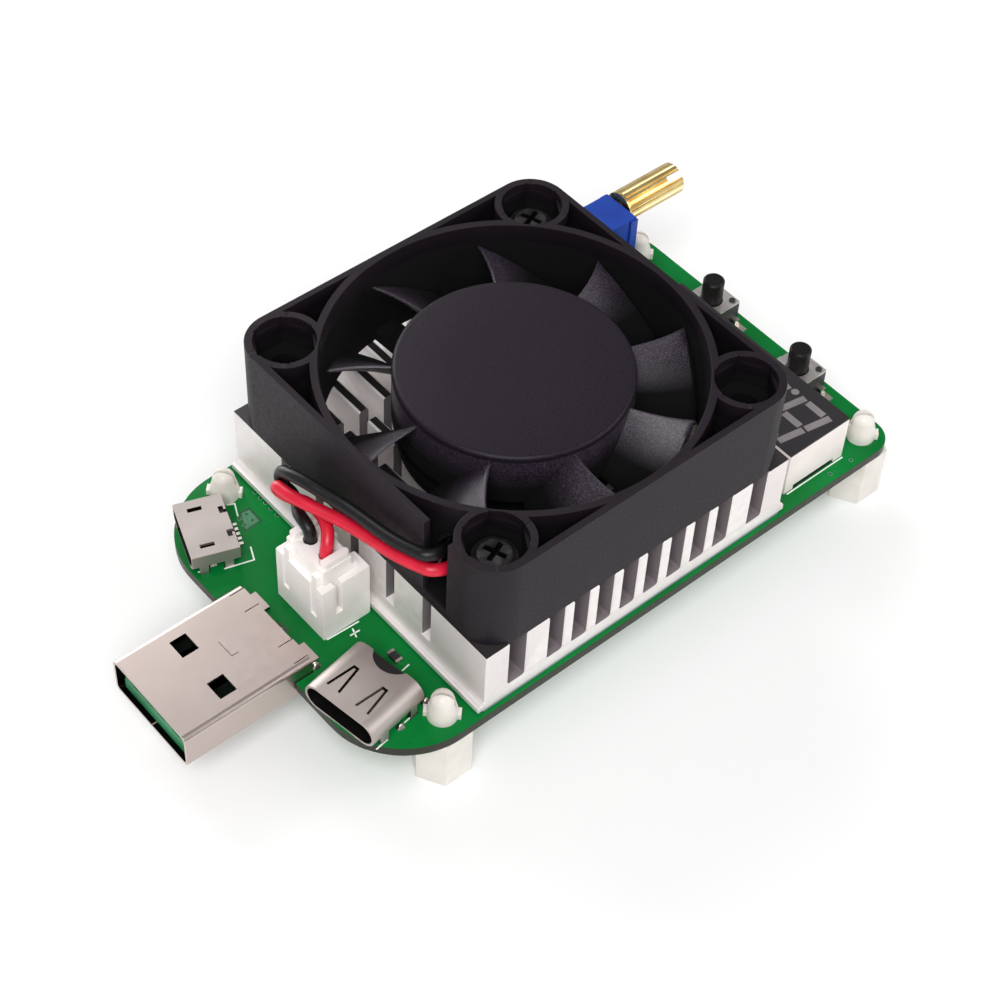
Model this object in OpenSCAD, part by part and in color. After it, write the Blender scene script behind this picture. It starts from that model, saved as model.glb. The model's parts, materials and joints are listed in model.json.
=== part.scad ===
// Plug-in dc electronic load: a finned heat sink with an axial fan on a small circuit board.
// Frame: x runs from the plug to the control end, y across the board, z up with the feet on z = 0.
// Sizes are in millimetres.

/* [Board] */
// thickness of the circuit board
board_t = 1.2; // [0.8:0.1:2]
// radius of the two corners at the plug end
end_r = 9; // [6:0.5:10]
// radius of the two corners at the control end
corner_r = 2.75; // [1:0.25:4]
// strip of board left beyond each side of the heat sink
board_strip = 0.5; // [0.4:0.1:3]
// board left beyond the switches at the control end
board_end = 1.05; // [0.5:0.05:4]
// gap round every pin, leg and neck that passes through the board
hole_gap = 0.1; // [0.05:0.05:0.3]

/* [Posts] */
// height of a hexagonal post under the board
post_h = 6.5; // [4:0.5:20]
// width across the flats of a post
post_af = 5.5; // [5:0.1:6]
// distance of the post centres from the board edges
post_inset = 2.75; // [2.6:0.05:4]
// diameter of the neck in the board
neck_d = 2.8; // [2.7:0.1:3]
// diameter of the snap head above the board
snap_d = 3.1; // [2.9:0.1:3.6]
// height of the snap head
snap_h = 3.5; // [3:0.1:5]
// diameter of the screw hole in the foot
foot_hole_d = 2.5; // [2:0.1:3]
// depth of the screw hole in the foot
foot_hole_depth = 5; // [3:0.5:5.5]

/* [Heat sink] */
// distance from the plug end of the board to the heat sink
sink_start = 12; // [11.5:0.5:20]
// height of the heat sink
sink_h = 8.2; // [6:0.1:20]
// thickness of the heat sink base
base_t = 1.6; // [1:0.1:3]
// thickness of the two outer fins
outer_fin = 2.95; // [2:0.05:3.4]
// width of the two screw channels
channel_w = 2.1; // [1.8:0.05:2.4]
// thickness of the two wide fins
wide_fin = 2.85; // [2:0.05:3.5]
// thickness of a thin fin
thin_fin = 1.2; // [0.8:0.05:1.6]
// number of thin fins
thin_count = 7; // [5:1:8]
// ledge of the base beyond the outer fins
ledge = 0.7; // [0.3:0.05:1]
// width of a cross cut through the fins
cut_w = 1.35; // [0.8:0.05:2]
// spacing of the cross cuts
cut_pitch = 5.6; // [4:0.1:5.7]
// number of cross cuts
cut_count = 5; // [1:2:5]
// thickness of the thermal pad under the heat sink
pad_t = 0.3; // [0.2:0.1:1]

/* [Fan] */
// side of the square fan and of the heat sink under it
fan_w = 40; // [38:1:50]
// thickness of the fan
fan_t = 11; // [10.5:0.1:15]
// distance of the corner holes from the fan sides
hole_inset = 4; // [3.9:0.1:4.4]
// thinnest wall of the frame beside the bore
bore_wall = 0.8; // [0.6:0.1:1.2]
// gap between the blade tips and the bore
tip_gap = 0.8; // [0.4:0.1:1.5]
// radius of the hub
hub_r = 12.1; // [11.5:0.1:13]
// depth of the hub top below the frame
hub_drop = 0.9; // [0.4:0.1:1.5]
// number of blades
blade_count = 9; // [5:1:11]
// thickness of a blade
blade_t = 0.8; // [0.6:0.1:1.2]
// radius of the rotor shaft
rotor_r = 1; // [0.75:0.05:1.2]
// radial gap of the rotor shaft in its bearing
rotor_gap = 0.03; // [0.02:0.01:0.06]
// diameter of the fan screws
screw_d = 2.6; // [2.4:0.1:2.8]
// head diameter of the fan screws
screw_head_d = 4.4; // [4:0.1:5]
// radius of a fan lead
lead_r = 0.65; // [0.4:0.05:0.65]

/* [Plug] */
// width of the plug shell
plug_w = 12; // [11:0.1:13]
// height of the plug shell
plug_h = 4.5; // [4.2:0.1:5]
// reach of the plug beyond the board
plug_out = 12.75; // [11:0.25:16]
// depth of the plug in the board notch
plug_in = 2.1; // [1.5:0.1:3]
// height of the plug above the board
plug_rise = 1.9; // [1.5:0.1:2.2]
// sheet thickness of the socket and plug shells
sheet_t = 0.3; // [0.2:0.05:0.35]

/* [Sockets] */
// width of the wide socket
sock_c_w = 8.94; // [8.6:0.02:9.2]
// height of the wide socket
sock_c_h = 3.2; // [3:0.02:3.4]
// length of the wide socket
sock_c_l = 7.1; // [6.5:0.1:7.4]
// width of the narrow socket
sock_m_w = 7.5; // [7:0.1:8]
// height of the narrow socket
sock_m_h = 2.6; // [2.4:0.05:3]
// length of the narrow socket
sock_m_l = 5; // [4.6:0.1:5.6]

/* [Fan connector] */
// size of the header along the board
head_x = 5.75; // [5.5:0.05:6]
// size of the header across the board
head_y = 7.45; // [7.2:0.05:8]
// height of the header
head_z = 7.3; // [6.8:0.1:7.6]
// spacing of the two contacts
head_pitch = 2.5; // [2.4:0.01:2.6]

/* [Display] */
// gap between the heat sink ledge and the display
display_gap = 1.6; // [0.5:0.1:4]
// depth of the display along the board
display_x = 8.7; // [8:0.1:12]
// length of the display across the board
display_y = 25.6; // [25:0.1:26]
// height of the display
display_z = 6; // [5:0.1:8]
// height of a digit
digit_h = 6.8; // [5.8:0.1:7]
// spacing of the digits
digit_pitch = 6; // [5.6:0.1:6]

/* [Switches] */
// gap between the display and the switches
switch_gap = 0.95; // [0.5:0.05:3]
// side of a switch
switch_w = 4.5; // [4.4:0.1:5]
// height of the cover plate of a switch
switch_h = 3; // [2.9:0.05:3.4]
// height of a button top above the board
button_top = 6; // [4:0.1:9]
// diameter of a button
button_d = 2.4; // [2:0.1:2.6]
// travel of a button
travel = 0.25; // [0.15:0.05:0.3]
// distance of the first switch from the centre line
switch_y_a = 5.25; // [4:0.25:6]
// distance of the second switch from the centre line
switch_y_b = 8.2; // [4:0.1:9]

/* [Trimmer] */
// length of the trimmer body
trim_l = 9.5; // [8:0.1:9.6]
// width of the trimmer body
trim_w = 4.83; // [4.4:0.01:5]
// height of the trimmer body above the board
trim_h = 10; // [9:0.1:12]
// depth of the knob axis below the body top
trim_axis = 0.95; // [0.9:0.05:2]
// diameter of the knurled knob
knob_d = 3.7; // [3:0.1:4]
// length of the knurled knob
knob_l = 8.2; // [6:0.1:12]
// number of knurl grooves
knurls = 20; // [12:1:26]

/* [Hidden] */
$fn = 64;
eps = 0.01;
board_w = fan_w + 2 * board_strip;
deck = post_h + board_t;
sink_z = pad_t;
fan_z = pad_t + sink_h;
fan_cx = sink_start + fan_w / 2;
fan_half = fan_w / 2;
hole_at = fan_half - hole_inset;
bore_r = fan_half - bore_wall;
ring_r = bore_r + 0.8;
boss_r = hole_inset - 0.1;
side_wall = 0.7;
head_cx = sink_start - ledge - 0.325 - head_x / 2;
cavity_x = head_cx - 0.45;
house_top = head_z + 1.9;
post_x_a = sink_start - ledge - 1 - snap_d / 2;
display_x0 = sink_start + fan_w + ledge + display_gap;
display_y0 = -fan_half + 1.45;
switch_x = display_x0 + display_x + switch_gap + switch_w / 2;
board_l = switch_x + switch_w / 2 + board_end;
post_x_b = board_l - post_inset;
post_y = board_w / 2 - post_inset;
trim_x1 = display_x0 + display_x + 0.1;
trim_y = board_w / 2 - 0.7 - trim_w / 2;
knob_z = trim_h - trim_axis;
knob_y = trim_y + 0.65;
knob_tip = trim_x1 + 0.2 + knob_l;
shift_x = (plug_out - max(board_l, knob_tip)) / 2;

// sub-part to draw, or all

// places its children on the upper face of the board, measured from the plug end
module on_board() {
    translate([shift_x, 0, deck]) children();
}

// places its children under the centre of the fan
module at_fan() {
    on_board() translate([fan_cx, 0, fan_z]) children();
}

// flat rectangle with rounded corners
module rounded(w, d, r) {
    square([w - 2 * r, d], center = true);
    square([w, d - 2 * r], center = true);
    for (sx = [-1, 1], sy = [-1, 1])
        translate([sx * (w / 2 - r), sy * (d / 2 - r)]) circle(r = r);
}

// block centred on x and y that starts at height z
module block(x, y, w, d, z, h) {
    translate([x - w / 2, y - d / 2, z]) cube([w, d, h]);
}

// Board

module board_outline() {
    translate([end_r, -board_w / 2]) square([board_l - end_r - corner_r, board_w]);
    translate([0, -board_w / 2 + end_r]) square([end_r, board_w - 2 * end_r]);
    translate([board_l - corner_r - eps, -board_w / 2 + corner_r])
        square([corner_r + eps, board_w - 2 * corner_r]);
    for (s = [-1, 1]) {
        translate([end_r, s * (board_w / 2 - end_r)]) circle(r = end_r);
        translate([board_l - corner_r, s * (board_w / 2 - corner_r)]) circle(r = corner_r);
    }
}

module board() {
    color("#1f7a43") on_board() translate([0, 0, -board_t]) difference() {
        linear_extrude(board_t) board_outline();
        block(plug_in / 2, 0, plug_in + 2 * hole_gap, plug_w + 2 * hole_gap, -1, board_t + 2);
        for (x = [post_x_a, post_x_b], s = [-1, 1])
            translate([x, s * post_y, -1]) cylinder(d = neck_d + 2 * hole_gap, h = board_t + 2);
        for (s = [-1, 1])
            translate([cavity_x, s * head_pitch / 2, -1]) cylinder(d = 0.91 + 2 * hole_gap, h = board_t + 2);
        display_pin_places() translate([0, 0, -1]) cylinder(d = 0.6 + 2 * hole_gap, h = board_t + 2);
        trimmer_pin_places() translate([0, 0, -1]) cylinder(d = 0.6 + 2 * hole_gap, h = board_t + 2);
        at_socket_c() socket_c_leg_places() block(0, 0, 0.9 + 2 * hole_gap, sheet_t + 2 * hole_gap, -3, 6);
        at_socket_m() socket_m_leg_places() block(0, 0, 0.9 + 2 * hole_gap, sheet_t + 2 * hole_gap, -3, 6);
    }
}

// Posts

module post() {
    hex_r = post_af / sqrt(3);
    tip_r = snap_d / 2 - 0.35;
    difference() {
        union() {
            cylinder(r = hex_r, h = post_h, $fn = 6);
            cylinder(d = neck_d, h = deck + 0.2);
            translate([0, 0, deck]) cylinder(d = snap_d, h = 0.9);
            translate([0, 0, deck + 0.9]) cylinder(d1 = snap_d, d2 = 2 * tip_r, h = snap_h - tip_r - 0.9);
            translate([0, 0, deck + snap_h - tip_r]) sphere(r = tip_r);
            rotate(-45) block(0, 0, snap_d + 0.6, 0.9, deck, 0.8);
        }
        translate([0, 0, -1]) cylinder(d = foot_hole_d, h = foot_hole_depth + 1);
        rotate(45) block(0, 0, 0.4, snap_d + 2, deck + 1.4, snap_h);
    }
}

module posts() {
    color("#e8e6de") translate([shift_x, 0, 0])
        for (x = [post_x_a, post_x_b], s = [-1, 1]) translate([x, s * post_y, 0]) post();
}

// Heat sink

thin_gap = (fan_w - 2 * outer_fin - 2 * channel_w - 2 * wide_fin - thin_count * thin_fin) / (thin_count + 1);
slot_r = 0.35;

// slot with a rounded bottom and a broken upper edge
module slot_shape(w) {
    translate([-w / 2, base_t + slot_r]) square([w, sink_h]);
    translate([-w / 2 + slot_r, base_t]) square([w - 2 * slot_r, sink_h]);
    for (s = [-1, 1]) translate([s * (w / 2 - slot_r), base_t + slot_r]) circle(r = slot_r);
    polygon([[-w / 2, sink_h - 0.2], [w / 2, sink_h - 0.2], [w / 2 + 0.25, sink_h + 0.05],
        [-w / 2 - 0.25, sink_h + 0.05]]);
}

module sink_profile() {
    difference() {
        union() {
            translate([-fan_half, 0]) square([fan_w, sink_h]);
            translate([-fan_half - ledge, 0]) square([fan_w + 2 * ledge, 0.6]);
            for (s = [-1, 1]) translate([s * (fan_half + ledge / 2), 0.6 + ledge / 2]) square(ledge, center = true);
        }
        for (s = [-1, 1]) {
            translate([s * (fan_half + ledge), 0.6 + ledge]) circle(r = ledge);
            translate([s * (fan_half - outer_fin - channel_w / 2), 0]) slot_shape(channel_w);
        }
        for (i = [0 : thin_count])
            translate([(i - thin_count / 2) * (thin_gap + thin_fin), 0]) slot_shape(thin_gap);
    }
}

module heatsink() {
    color("#d8d6d4") on_board() translate([fan_cx, 0, sink_z]) difference() {
        translate([0, fan_half, 0]) rotate([90, 0, 0]) linear_extrude(fan_w) sink_profile();
        for (i = [0 : cut_count - 1])
            block(0, (i - (cut_count - 1) / 2) * cut_pitch, fan_w + 4, cut_w, base_t + 0.7, sink_h);
        for (s = [-1, 1])
            translate([s * hole_at, s * hole_at, base_t + 0.6]) cylinder(d = screw_d + 2 * eps, h = sink_h);
    }
}

module thermal_pad() {
    color("#8d93a0") on_board() block(fan_cx, 0, fan_w, fan_w, 0, pad_t);
}

// Parts under the board

module transistor_places() {
    for (s = [-1, 1]) on_board() translate([fan_cx + s * 8, 0, -board_t]) children();
}

module transistors() {
    color("#26262a") transistor_places() difference() {
        block(0, 0, 6.1, 6.6, -2.3, 2.3);
        block(-0.6, 0, 5.6, 5.4, -0.5, 1);
    }
}

module transistor_metal() {
    color("#b9b9bb") transistor_places() {
        block(-1, 0, 6.4, 5.4, -0.5, 0.5);
        for (s = [-1, 1]) block(4.25, s * 2.28, 2.4, 0.8, -0.5, 0.5);
    }
}

// centre, size and legs on a side of each chip: one beside the header, one beyond the display
far_chip_l = 6.5;
pin_clear = 0.8;
far_chip_y = min(display_y0 + display_y + 2.2, trim_y - 1.27 - pin_clear - far_chip_l / 2);
chip_list = [[head_cx, head_y / 2 + 3.6, 3.9, 4.9, 4],
    [display_x0 + display_x / 2, far_chip_y, 4.4, far_chip_l, 10]];

module chips() {
    color("#242428") for (c = chip_list) on_board()
        block(c[0], c[1], c[2], c[3], -board_t - 1.5, 1.4);
}

module chip_legs() {
    color("#c9c9cb") for (c = chip_list, s = [-1, 1], i = [0 : c[4] - 1]) on_board()
        translate([c[0], c[1] + (i - (c[4] - 1) / 2) * (c[3] - 1) / (c[4] - 1), -board_t]) {
            block(s * (c[2] / 2 + 0.75), 0, 0.6, 0.3, -0.2, 0.2);
            block(s * (c[2] / 2 + 0.375), 0, 0.25, 0.3, -0.9, 0.9);
            block(s * (c[2] / 2 + 0.175), 0, 0.35, 0.3, -0.9, 0.2);
        }
}

module shunt() {
    color("#3a3a3c") on_board() block(fan_cx, -11, 6.4, 3.2, -board_t - 0.7, 0.7);
}

// Small resistor between the wide socket and the heat sink

module at_resistor() {
    on_board() translate([sink_start - ledge - 1.95, -9.7 - (fan_w - 40) / 4, 0]) children();
}

module resistor() {
    color("#1f1f22") at_resistor() block(0, 0, 0.8, 1, 0.02, 0.43);
}

module resistor_ends() {
    color("#c9c9cb") at_resistor() for (s = [-1, 1]) block(0, s * 0.65, 0.8, 0.3, 0, 0.47);
}

// Fan

motor_base = 1.3;
motor_board_t = 0.8;
hub_bottom = 3.6;
hub_top = fan_t - hub_drop;
rotor_scale = hub_r / 12.1;
yoke_r = hub_r - rotor_scale;
magnet_r = yoke_r - 0.6 * rotor_scale;
magnet_in = magnet_r - 1.4 * rotor_scale;
core_r = magnet_in - 0.5 * rotor_scale;
core_ring = 1.4 * rotor_scale;
leg_half = 1.2 * rotor_scale;
coil_half = 2.2 * rotor_scale;
core_z = 3.4;
core_h = fan_t - 7.4;
tube_r = rotor_r + 1.9 * rotor_scale;
sleeve_r = rotor_r + 1.2;
tube_top = core_z + core_h + 0.4;
lead_angle = 213;

module corner_places() {
    for (sx = [-1, 1], sy = [-1, 1]) translate([sx * hole_at, sy * hole_at, 0]) children();
}

// hollow between the bore ring, a side wall and the corner bosses
module frame_pockets() {
    difference() {
        block(0, 0, fan_w - 2 * side_wall, fan_w - 2 * side_wall, motor_base, fan_t);
        cylinder(r = ring_r, h = fan_t + 5);
        corner_places() cylinder(r = boss_r, h = fan_t + 5);
        for (sx = [-1, 1], sy = [-1, 1])
            block(sx * (hole_at + 5), sy * (hole_at + 5), 10, 10, 0, fan_t + 5);
    }
}

module fan_frame() {
    color("#2c2a2e") at_fan() difference() {
        union() {
            difference() {
                linear_extrude(fan_t) rounded(fan_w, fan_w, hole_inset);
                translate([0, 0, -1]) cylinder(r = bore_r, h = fan_t + 2);
                frame_pockets();
                corner_places() {
                    translate([0, 0, -1]) cylinder(d = screw_d + 0.6, h = fan_t + 2);
                    translate([0, 0, fan_t - 3.6]) cylinder(r = boss_r - 0.62, h = 5, $fn = 6);
                    translate([0, 0, fan_t - 0.9]) cylinder(r = boss_r - 0.72, h = 5);
                }
                rotate(lead_angle) block(bore_r + 1.3, 0, 5.6, 3.2, motor_base, 5.8);
                translate([-fan_half - 1, -fan_half + 6, motor_base]) cube([1 + side_wall + eps, 3.4, fan_t]);
            }
            cylinder(r = hub_r - 0.6, h = motor_base);
            for (i = [0 : 2]) rotate(lead_angle + 120 * i)
                translate([hub_r - 1.2, -1.4, 0]) cube([bore_r + 0.4 - hub_r + 1.2, 2.8, motor_base]);
            cylinder(r = tube_r + 0.5, h = core_z);
            cylinder(r = tube_r, h = tube_top);
        }
        translate([0, 0, motor_base]) cylinder(r = sleeve_r, h = fan_t);
        translate([0, 0, 0.5]) cylinder(r = sleeve_r - 0.4, h = fan_t);
    }
}

module bearing() {
    color("#b08d4f") at_fan() difference() {
        translate([0, 0, motor_base]) cylinder(r = sleeve_r, h = tube_top - motor_base);
        cylinder(r = rotor_r + rotor_gap, h = fan_t);
    }
}

module stator_core() {
    color("#8f9296") at_fan() translate([0, 0, core_z]) linear_extrude(core_h) difference() {
        union() {
            circle(r = tube_r + 1.7 * rotor_scale);
            for (i = [0 : 3]) rotate(lead_angle + 90 * i)
                translate([tube_r, -leg_half]) square([core_r - tube_r - core_ring / 2, 2 * leg_half]);
            difference() {
                circle(r = core_r);
                circle(r = core_r - core_ring);
                for (i = [0 : 3]) rotate(lead_angle + 45 + 90 * i)
                    translate([0, -0.9 * rotor_scale]) square([core_r + 1, 1.8 * rotor_scale]);
            }
        }
        circle(r = tube_r);
    }
}

module stator_coils() {
    coil_in = tube_r + 1.8 * rotor_scale;
    coil_out = sqrt(pow(core_r - core_ring, 2) - pow(coil_half, 2)) - 0.1;
    color("#a85a2a") at_fan() for (i = [0 : 3]) rotate(lead_angle + 90 * i) difference() {
        translate([coil_in, -coil_half, core_z - 0.7]) cube([coil_out - coil_in, 2 * coil_half, core_h + 1.4]);
        translate([coil_in - 1, -leg_half, core_z]) cube([coil_out, 2 * leg_half, core_h]);
    }
}

module motor_board() {
    color("#2f6b3f") at_fan() difference() {
        translate([0, 0, motor_base]) cylinder(r = magnet_in + 0.9, h = motor_board_t);
        cylinder(r = tube_r + 0.5, h = fan_t);
        for (s = [-1, 1]) rotate(lead_angle)
            translate([magnet_in, s * (lead_r + 0.05), 0]) cylinder(r = 0.35, h = fan_t);
    }
}

// point on the lower part of a blade for a share of the span and of the chord
function blade_mid(u, v) =
    let (r = hub_r - 0.5 + u * (bore_r - tip_gap - hub_r + 0.5),
        a = -21.5 - 6 * u * u - v * (33 - 5 * u) + 3 * sin(180 * v),
        z = hub_top - 0.9 - (hub_top - 0.9 - hub_bottom - 0.1) * (v - 0.06 * sin(180 * v)))
    [r * cos(a), r * sin(a), z];

// outward side of a blade at a share of the chord
function blade_side(u, v) =
    let (du = blade_mid(u + 0.02, v) - blade_mid(u - 0.02, v),
        dv = blade_mid(u, v + 0.02) - blade_mid(u, v - 0.02),
        n = cross(du, dv))
    n / norm(n) * blade_t * (0.3 + 0.2 * sin(180 * v));

// one twisted blade as a closed shell of small flat faces
module blade() {
    nu = 4;
    nv = 7;
    grid = [for (side = [1, -1], i = [0 : nu], j = [0 : nv])
        blade_mid(i / nu, j / nv) + side * blade_side(i / nu, j / nv)];
    half = (nu + 1) * (nv + 1);
    faces = concat(
        [for (i = [0 : nu - 1], j = [0 : nv - 1]) let (k = i * (nv + 1) + j) [k, k + 1, k + nv + 2]],
        [for (i = [0 : nu - 1], j = [0 : nv - 1]) let (k = i * (nv + 1) + j) [k, k + nv + 2, k + nv + 1]],
        [for (i = [0 : nu - 1], j = [0 : nv - 1]) let (k = half + i * (nv + 1) + j) [k, k + nv + 2, k + 1]],
        [for (i = [0 : nu - 1], j = [0 : nv - 1]) let (k = half + i * (nv + 1) + j) [k, k + nv + 1, k + nv + 2]],
        [for (j = [0 : nv - 1]) [j, half + j, half + j + 1]],
        [for (j = [0 : nv - 1]) [j, half + j + 1, j + 1]],
        [for (j = [0 : nv - 1]) let (k = nu * (nv + 1) + j) [k, k + 1, half + k + 1]],
        [for (j = [0 : nv - 1]) let (k = nu * (nv + 1) + j) [k, half + k + 1, half + k]],
        [for (i = [0 : nu - 1]) let (k = i * (nv + 1)) [k, k + nv + 1, half + k + nv + 1]],
        [for (i = [0 : nu - 1]) let (k = i * (nv + 1)) [k, half + k + nv + 1, half + k]],
        [for (i = [0 : nu - 1]) let (k = i * (nv + 1) + nv) [k, half + k, half + k + nv + 1]],
        [for (i = [0 : nu - 1]) let (k = i * (nv + 1) + nv) [k, half + k + nv + 1, k + nv + 1]]);
    polyhedron(points = grid, faces = faces);
}

module impeller() {
    color("#353037") at_fan() difference() {
        union() {
            difference() {
                rotate_extrude() hub_half();
                translate([0, 0, hub_bottom - 1]) cylinder(r = yoke_r, h = hub_top - hub_bottom);
            }
            translate([0, 0, tube_top + 0.3]) cylinder(r = rotor_r + 1.3, h = hub_top - tube_top - 0.8);
            difference() {
                for (i = [0 : blade_count - 1]) rotate(i * 360 / blade_count) blade();
                cylinder(r = hub_r - 0.3, h = fan_t);
            }
        }
        cylinder(r = rotor_r, h = hub_top - 0.5);
    }
}

// half outline of the hub with a rounded upper rim
module hub_half() {
    translate([0, hub_bottom]) square([hub_r, hub_top - hub_bottom - 0.5]);
    translate([0, hub_bottom]) square([hub_r - 0.5, hub_top - hub_bottom]);
    translate([hub_r - 0.5, hub_top - 0.5]) circle(r = 0.5);
}

module rotor_yoke() {
    color("#7e8286") at_fan() difference() {
        translate([0, 0, hub_bottom + 0.1]) cylinder(r = yoke_r, h = hub_top - 1 - hub_bottom - 0.1);
        cylinder(r = magnet_r, h = fan_t);
    }
}

module rotor_magnet() {
    color("#3c3b3d") at_fan() difference() {
        translate([0, 0, hub_bottom + 0.3]) cylinder(r = magnet_r, h = hub_top - hub_bottom - 1.9);
        cylinder(r = magnet_in, h = fan_t);
    }
}

module rotor_shaft() {
    color("#c4c6c9") at_fan() difference() {
        translate([0, 0, 0.6]) cylinder(r = rotor_r, h = hub_top - 1.1);
        difference() {
            translate([0, 0, 0.9]) cylinder(r = rotor_r + 1, h = 0.32);
            cylinder(r = rotor_r - 0.25, h = 3);
        }
    }
}

module shaft_clip() {
    color("#e4dccb") at_fan() difference() {
        translate([0, 0, 0.91]) cylinder(r = sleeve_r - 0.6, h = 0.3);
        cylinder(r = rotor_r - 0.24, h = 3);
    }
}

module fan_screws() {
    color("#1d1d20") at_fan() for (s = [-1, 1]) translate([s * hole_at, s * hole_at, 0]) difference() {
        union() {
            translate([0, 0, base_t + 1.2 - sink_h]) cylinder(d = screw_d, h = fan_t - 3.2 + sink_h - base_t - 1.2);
            translate([0, 0, fan_t - 3.6]) cylinder(d = screw_head_d, h = 1.1);
            translate([0, 0, fan_t - 2.5]) cylinder(d1 = screw_head_d, d2 = screw_head_d - 1.4, h = 0.5);
        }
        for (a = [0, 90]) rotate(a + 20) block(0, 0, 2.4, 0.55, fan_t - 3, 2);
    }
}

// Fan leads

function unit(v) = v / norm(v);
// heading of the curve at a point, as on the circle through it and its two neighbours
function heading(p, i) = i == 0 ? unit(p[1] - p[0]) : i == len(p) - 1 ? unit(p[i] - p[i - 1]) :
    let (a = p[i] - p[i - 1], b = p[i + 1] - p[i]) unit(norm(b) * unit(a) + norm(a) * unit(b));
// smooth curve through the points with a few steps between each pair
function smooth(p, n) = [for (i = [0 : len(p) - 2], k = [0 : n - 1])
    let (t = k / n, b = p[i], c = p[i + 1], run = norm(c - b), u = run * heading(p, i), v = run * heading(p, i + 1))
    b + t * u + t * t * (3 * (c - b) - 2 * u - v) + t * t * t * (2 * (b - c) + u + v)];
function tangents(q) = [for (i = [0 : len(q) - 1]) unit(q[min(i + 1, len(q) - 1)] - q[max(i - 1, 0)])];
// side direction of each ring, carried along the curve without twist
function sides(t, i, s) = i == len(t) ? [] :
    let (w = unit(s - (s * t[i]) * t[i])) concat([w], sides(t, i + 1, w));

module tube(points, r) {
    q = concat(smooth(points, 2), [points[len(points) - 1]]);
    t = tangents(q);
    s = sides(t, 0, [0.1, 1, 0.2]);
    m = 10;
    n = len(q);
    ring = [for (i = [0 : n - 1], k = [0 : m - 1])
        q[i] + r * (cos(360 * k / m) * s[i] + sin(360 * k / m) * cross(t[i], s[i]))];
    faces = concat([[for (k = [0 : m - 1]) k]], [[for (k = [m - 1 : -1 : 0]) (n - 1) * m + k]],
        [for (i = [0 : n - 2], k = [0 : m - 1]) [(i + 1) * m + k, i * m + (k + 1) % m, i * m + k]],
        [for (i = [0 : n - 2], k = [0 : m - 1])
            [(i + 1) * m + k, (i + 1) * m + (k + 1) % m, i * m + (k + 1) % m]]);
    polyhedron(points = ring, faces = faces);
}

// place along the lead strut of the fan, given as radius, side offset and height
function strut_point(r, side, z) = [fan_cx + r * cos(lead_angle) - side * sin(lead_angle),
    r * sin(lead_angle) + side * cos(lead_angle), fan_z + z];
lead_low = motor_base + motor_board_t + lead_r + 0.05;
lead_side = lead_r + 0.05;
face_x = fan_cx - fan_half;
near_y = -fan_half;
red_points = [strut_point(magnet_in - 0.5, lead_side, lead_low), strut_point(bore_r - 1, lead_side, lead_low),
    strut_point(bore_r + 1.2, lead_side, 3.8), [face_x + 1.7, near_y + 7.5, fan_z + 5.2],
    [face_x + 0.5, near_y + 7.4, fan_z + 5.8], [face_x - 0.45, near_y + 7.95, fan_z + 5.95],
    [face_x - 0.85, near_y + 9, fan_z + 5.8], [cavity_x + 1.95, -1.3, house_top + 3.6],
    [cavity_x - 0.1, 5.1, house_top + 3.55], [cavity_x - 0.1, 6.15, house_top + 3.3],
    [cavity_x + 0.05, 6.5, house_top + 2.65], [cavity_x + 0.4, 6.2, house_top + 2],
    [cavity_x + 0.85, 5.2, house_top + 1.85], [cavity_x + 1.45, 3.6, house_top + 2.1],
    [cavity_x + 1.65, 1.7, house_top + 2.05], [cavity_x + 1, -0.2, house_top + 1.85],
    [cavity_x + 0.3, 0.2 - head_pitch / 2, house_top + 1.15], [cavity_x, -head_pitch / 2, house_top + 0.35],
    [cavity_x, -head_pitch / 2, house_top - 0.4], [cavity_x, -head_pitch / 2, house_top - 2.6]];
black_points = [strut_point(magnet_in - 0.5, -lead_side, lead_low), strut_point(bore_r - 1, -lead_side, lead_low),
    strut_point(bore_r + 1.2, -lead_side, 5), [face_x + 1.4, near_y + 8.4, fan_z + 6.9],
    [face_x + 0.45, near_y + 8.1, fan_z + 7.5], [face_x - 0.5, near_y + 8.6, fan_z + 7.55],
    [face_x - 0.85, near_y + 9.6, fan_z + 7.4], [cavity_x + 2.35, -0.9, house_top + 5.35],
    [cavity_x + 0.4, 5.8, house_top + 5], [cavity_x + 0.05, 7.6, house_top + 4.1],
    [cavity_x + 0.05, 8.35, house_top + 2.8], [cavity_x, 8.2, house_top + 1.5],
    [cavity_x - 0.15, 7.1, house_top + 0.65], [cavity_x - 0.3, 5.5, house_top + 0.7],
    [cavity_x - 0.25, 3.7, house_top + 1.5], [cavity_x - 0.1, 2.4, house_top + 1.85],
    [cavity_x, head_pitch / 2 + 0.15, house_top + 1.35], [cavity_x, head_pitch / 2, house_top + 0.35],
    [cavity_x, head_pitch / 2, house_top - 0.4], [cavity_x, head_pitch / 2, house_top - 2.6]];

// bare end of a lead in its hole in the motor board
module lead_end(side) {
    translate(strut_point(magnet_in, side, motor_base + 0.1)) cylinder(r = 0.3, h = motor_board_t + lead_r);
}

module lead_red() {
    color("#d8213f") on_board() {
        tube(red_points, lead_r);
        lead_end(lead_side);
    }
}

module lead_black() {
    color("#222124") on_board() {
        tube(black_points, lead_r);
        lead_end(-lead_side);
    }
}

// Fan connector

module header() {
    wall = 0.75;
    color("#f2ecea") on_board() translate([head_cx, 0, 0]) difference() {
        block(0, 0, head_x, head_y, 0, head_z);
        block(0, 0, head_x - 2 * wall, head_y - 2 * wall, 1.6, head_z);
        for (s = [-1, 1]) block(-head_x / 2, s * 2.2, 2, 0.9, 2.6, head_z);
        for (s = [-1, 1]) block(-0.9, s * head_y / 2, 0.8, 2, 3, head_z);
        block(head_x / 2, 0, 2, 2.6, 4.4, head_z);
        for (s = [-1, 1]) block(cavity_x - head_cx, s * head_pitch / 2, 0.64, 0.64, -1, 4);
    }
}

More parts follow.
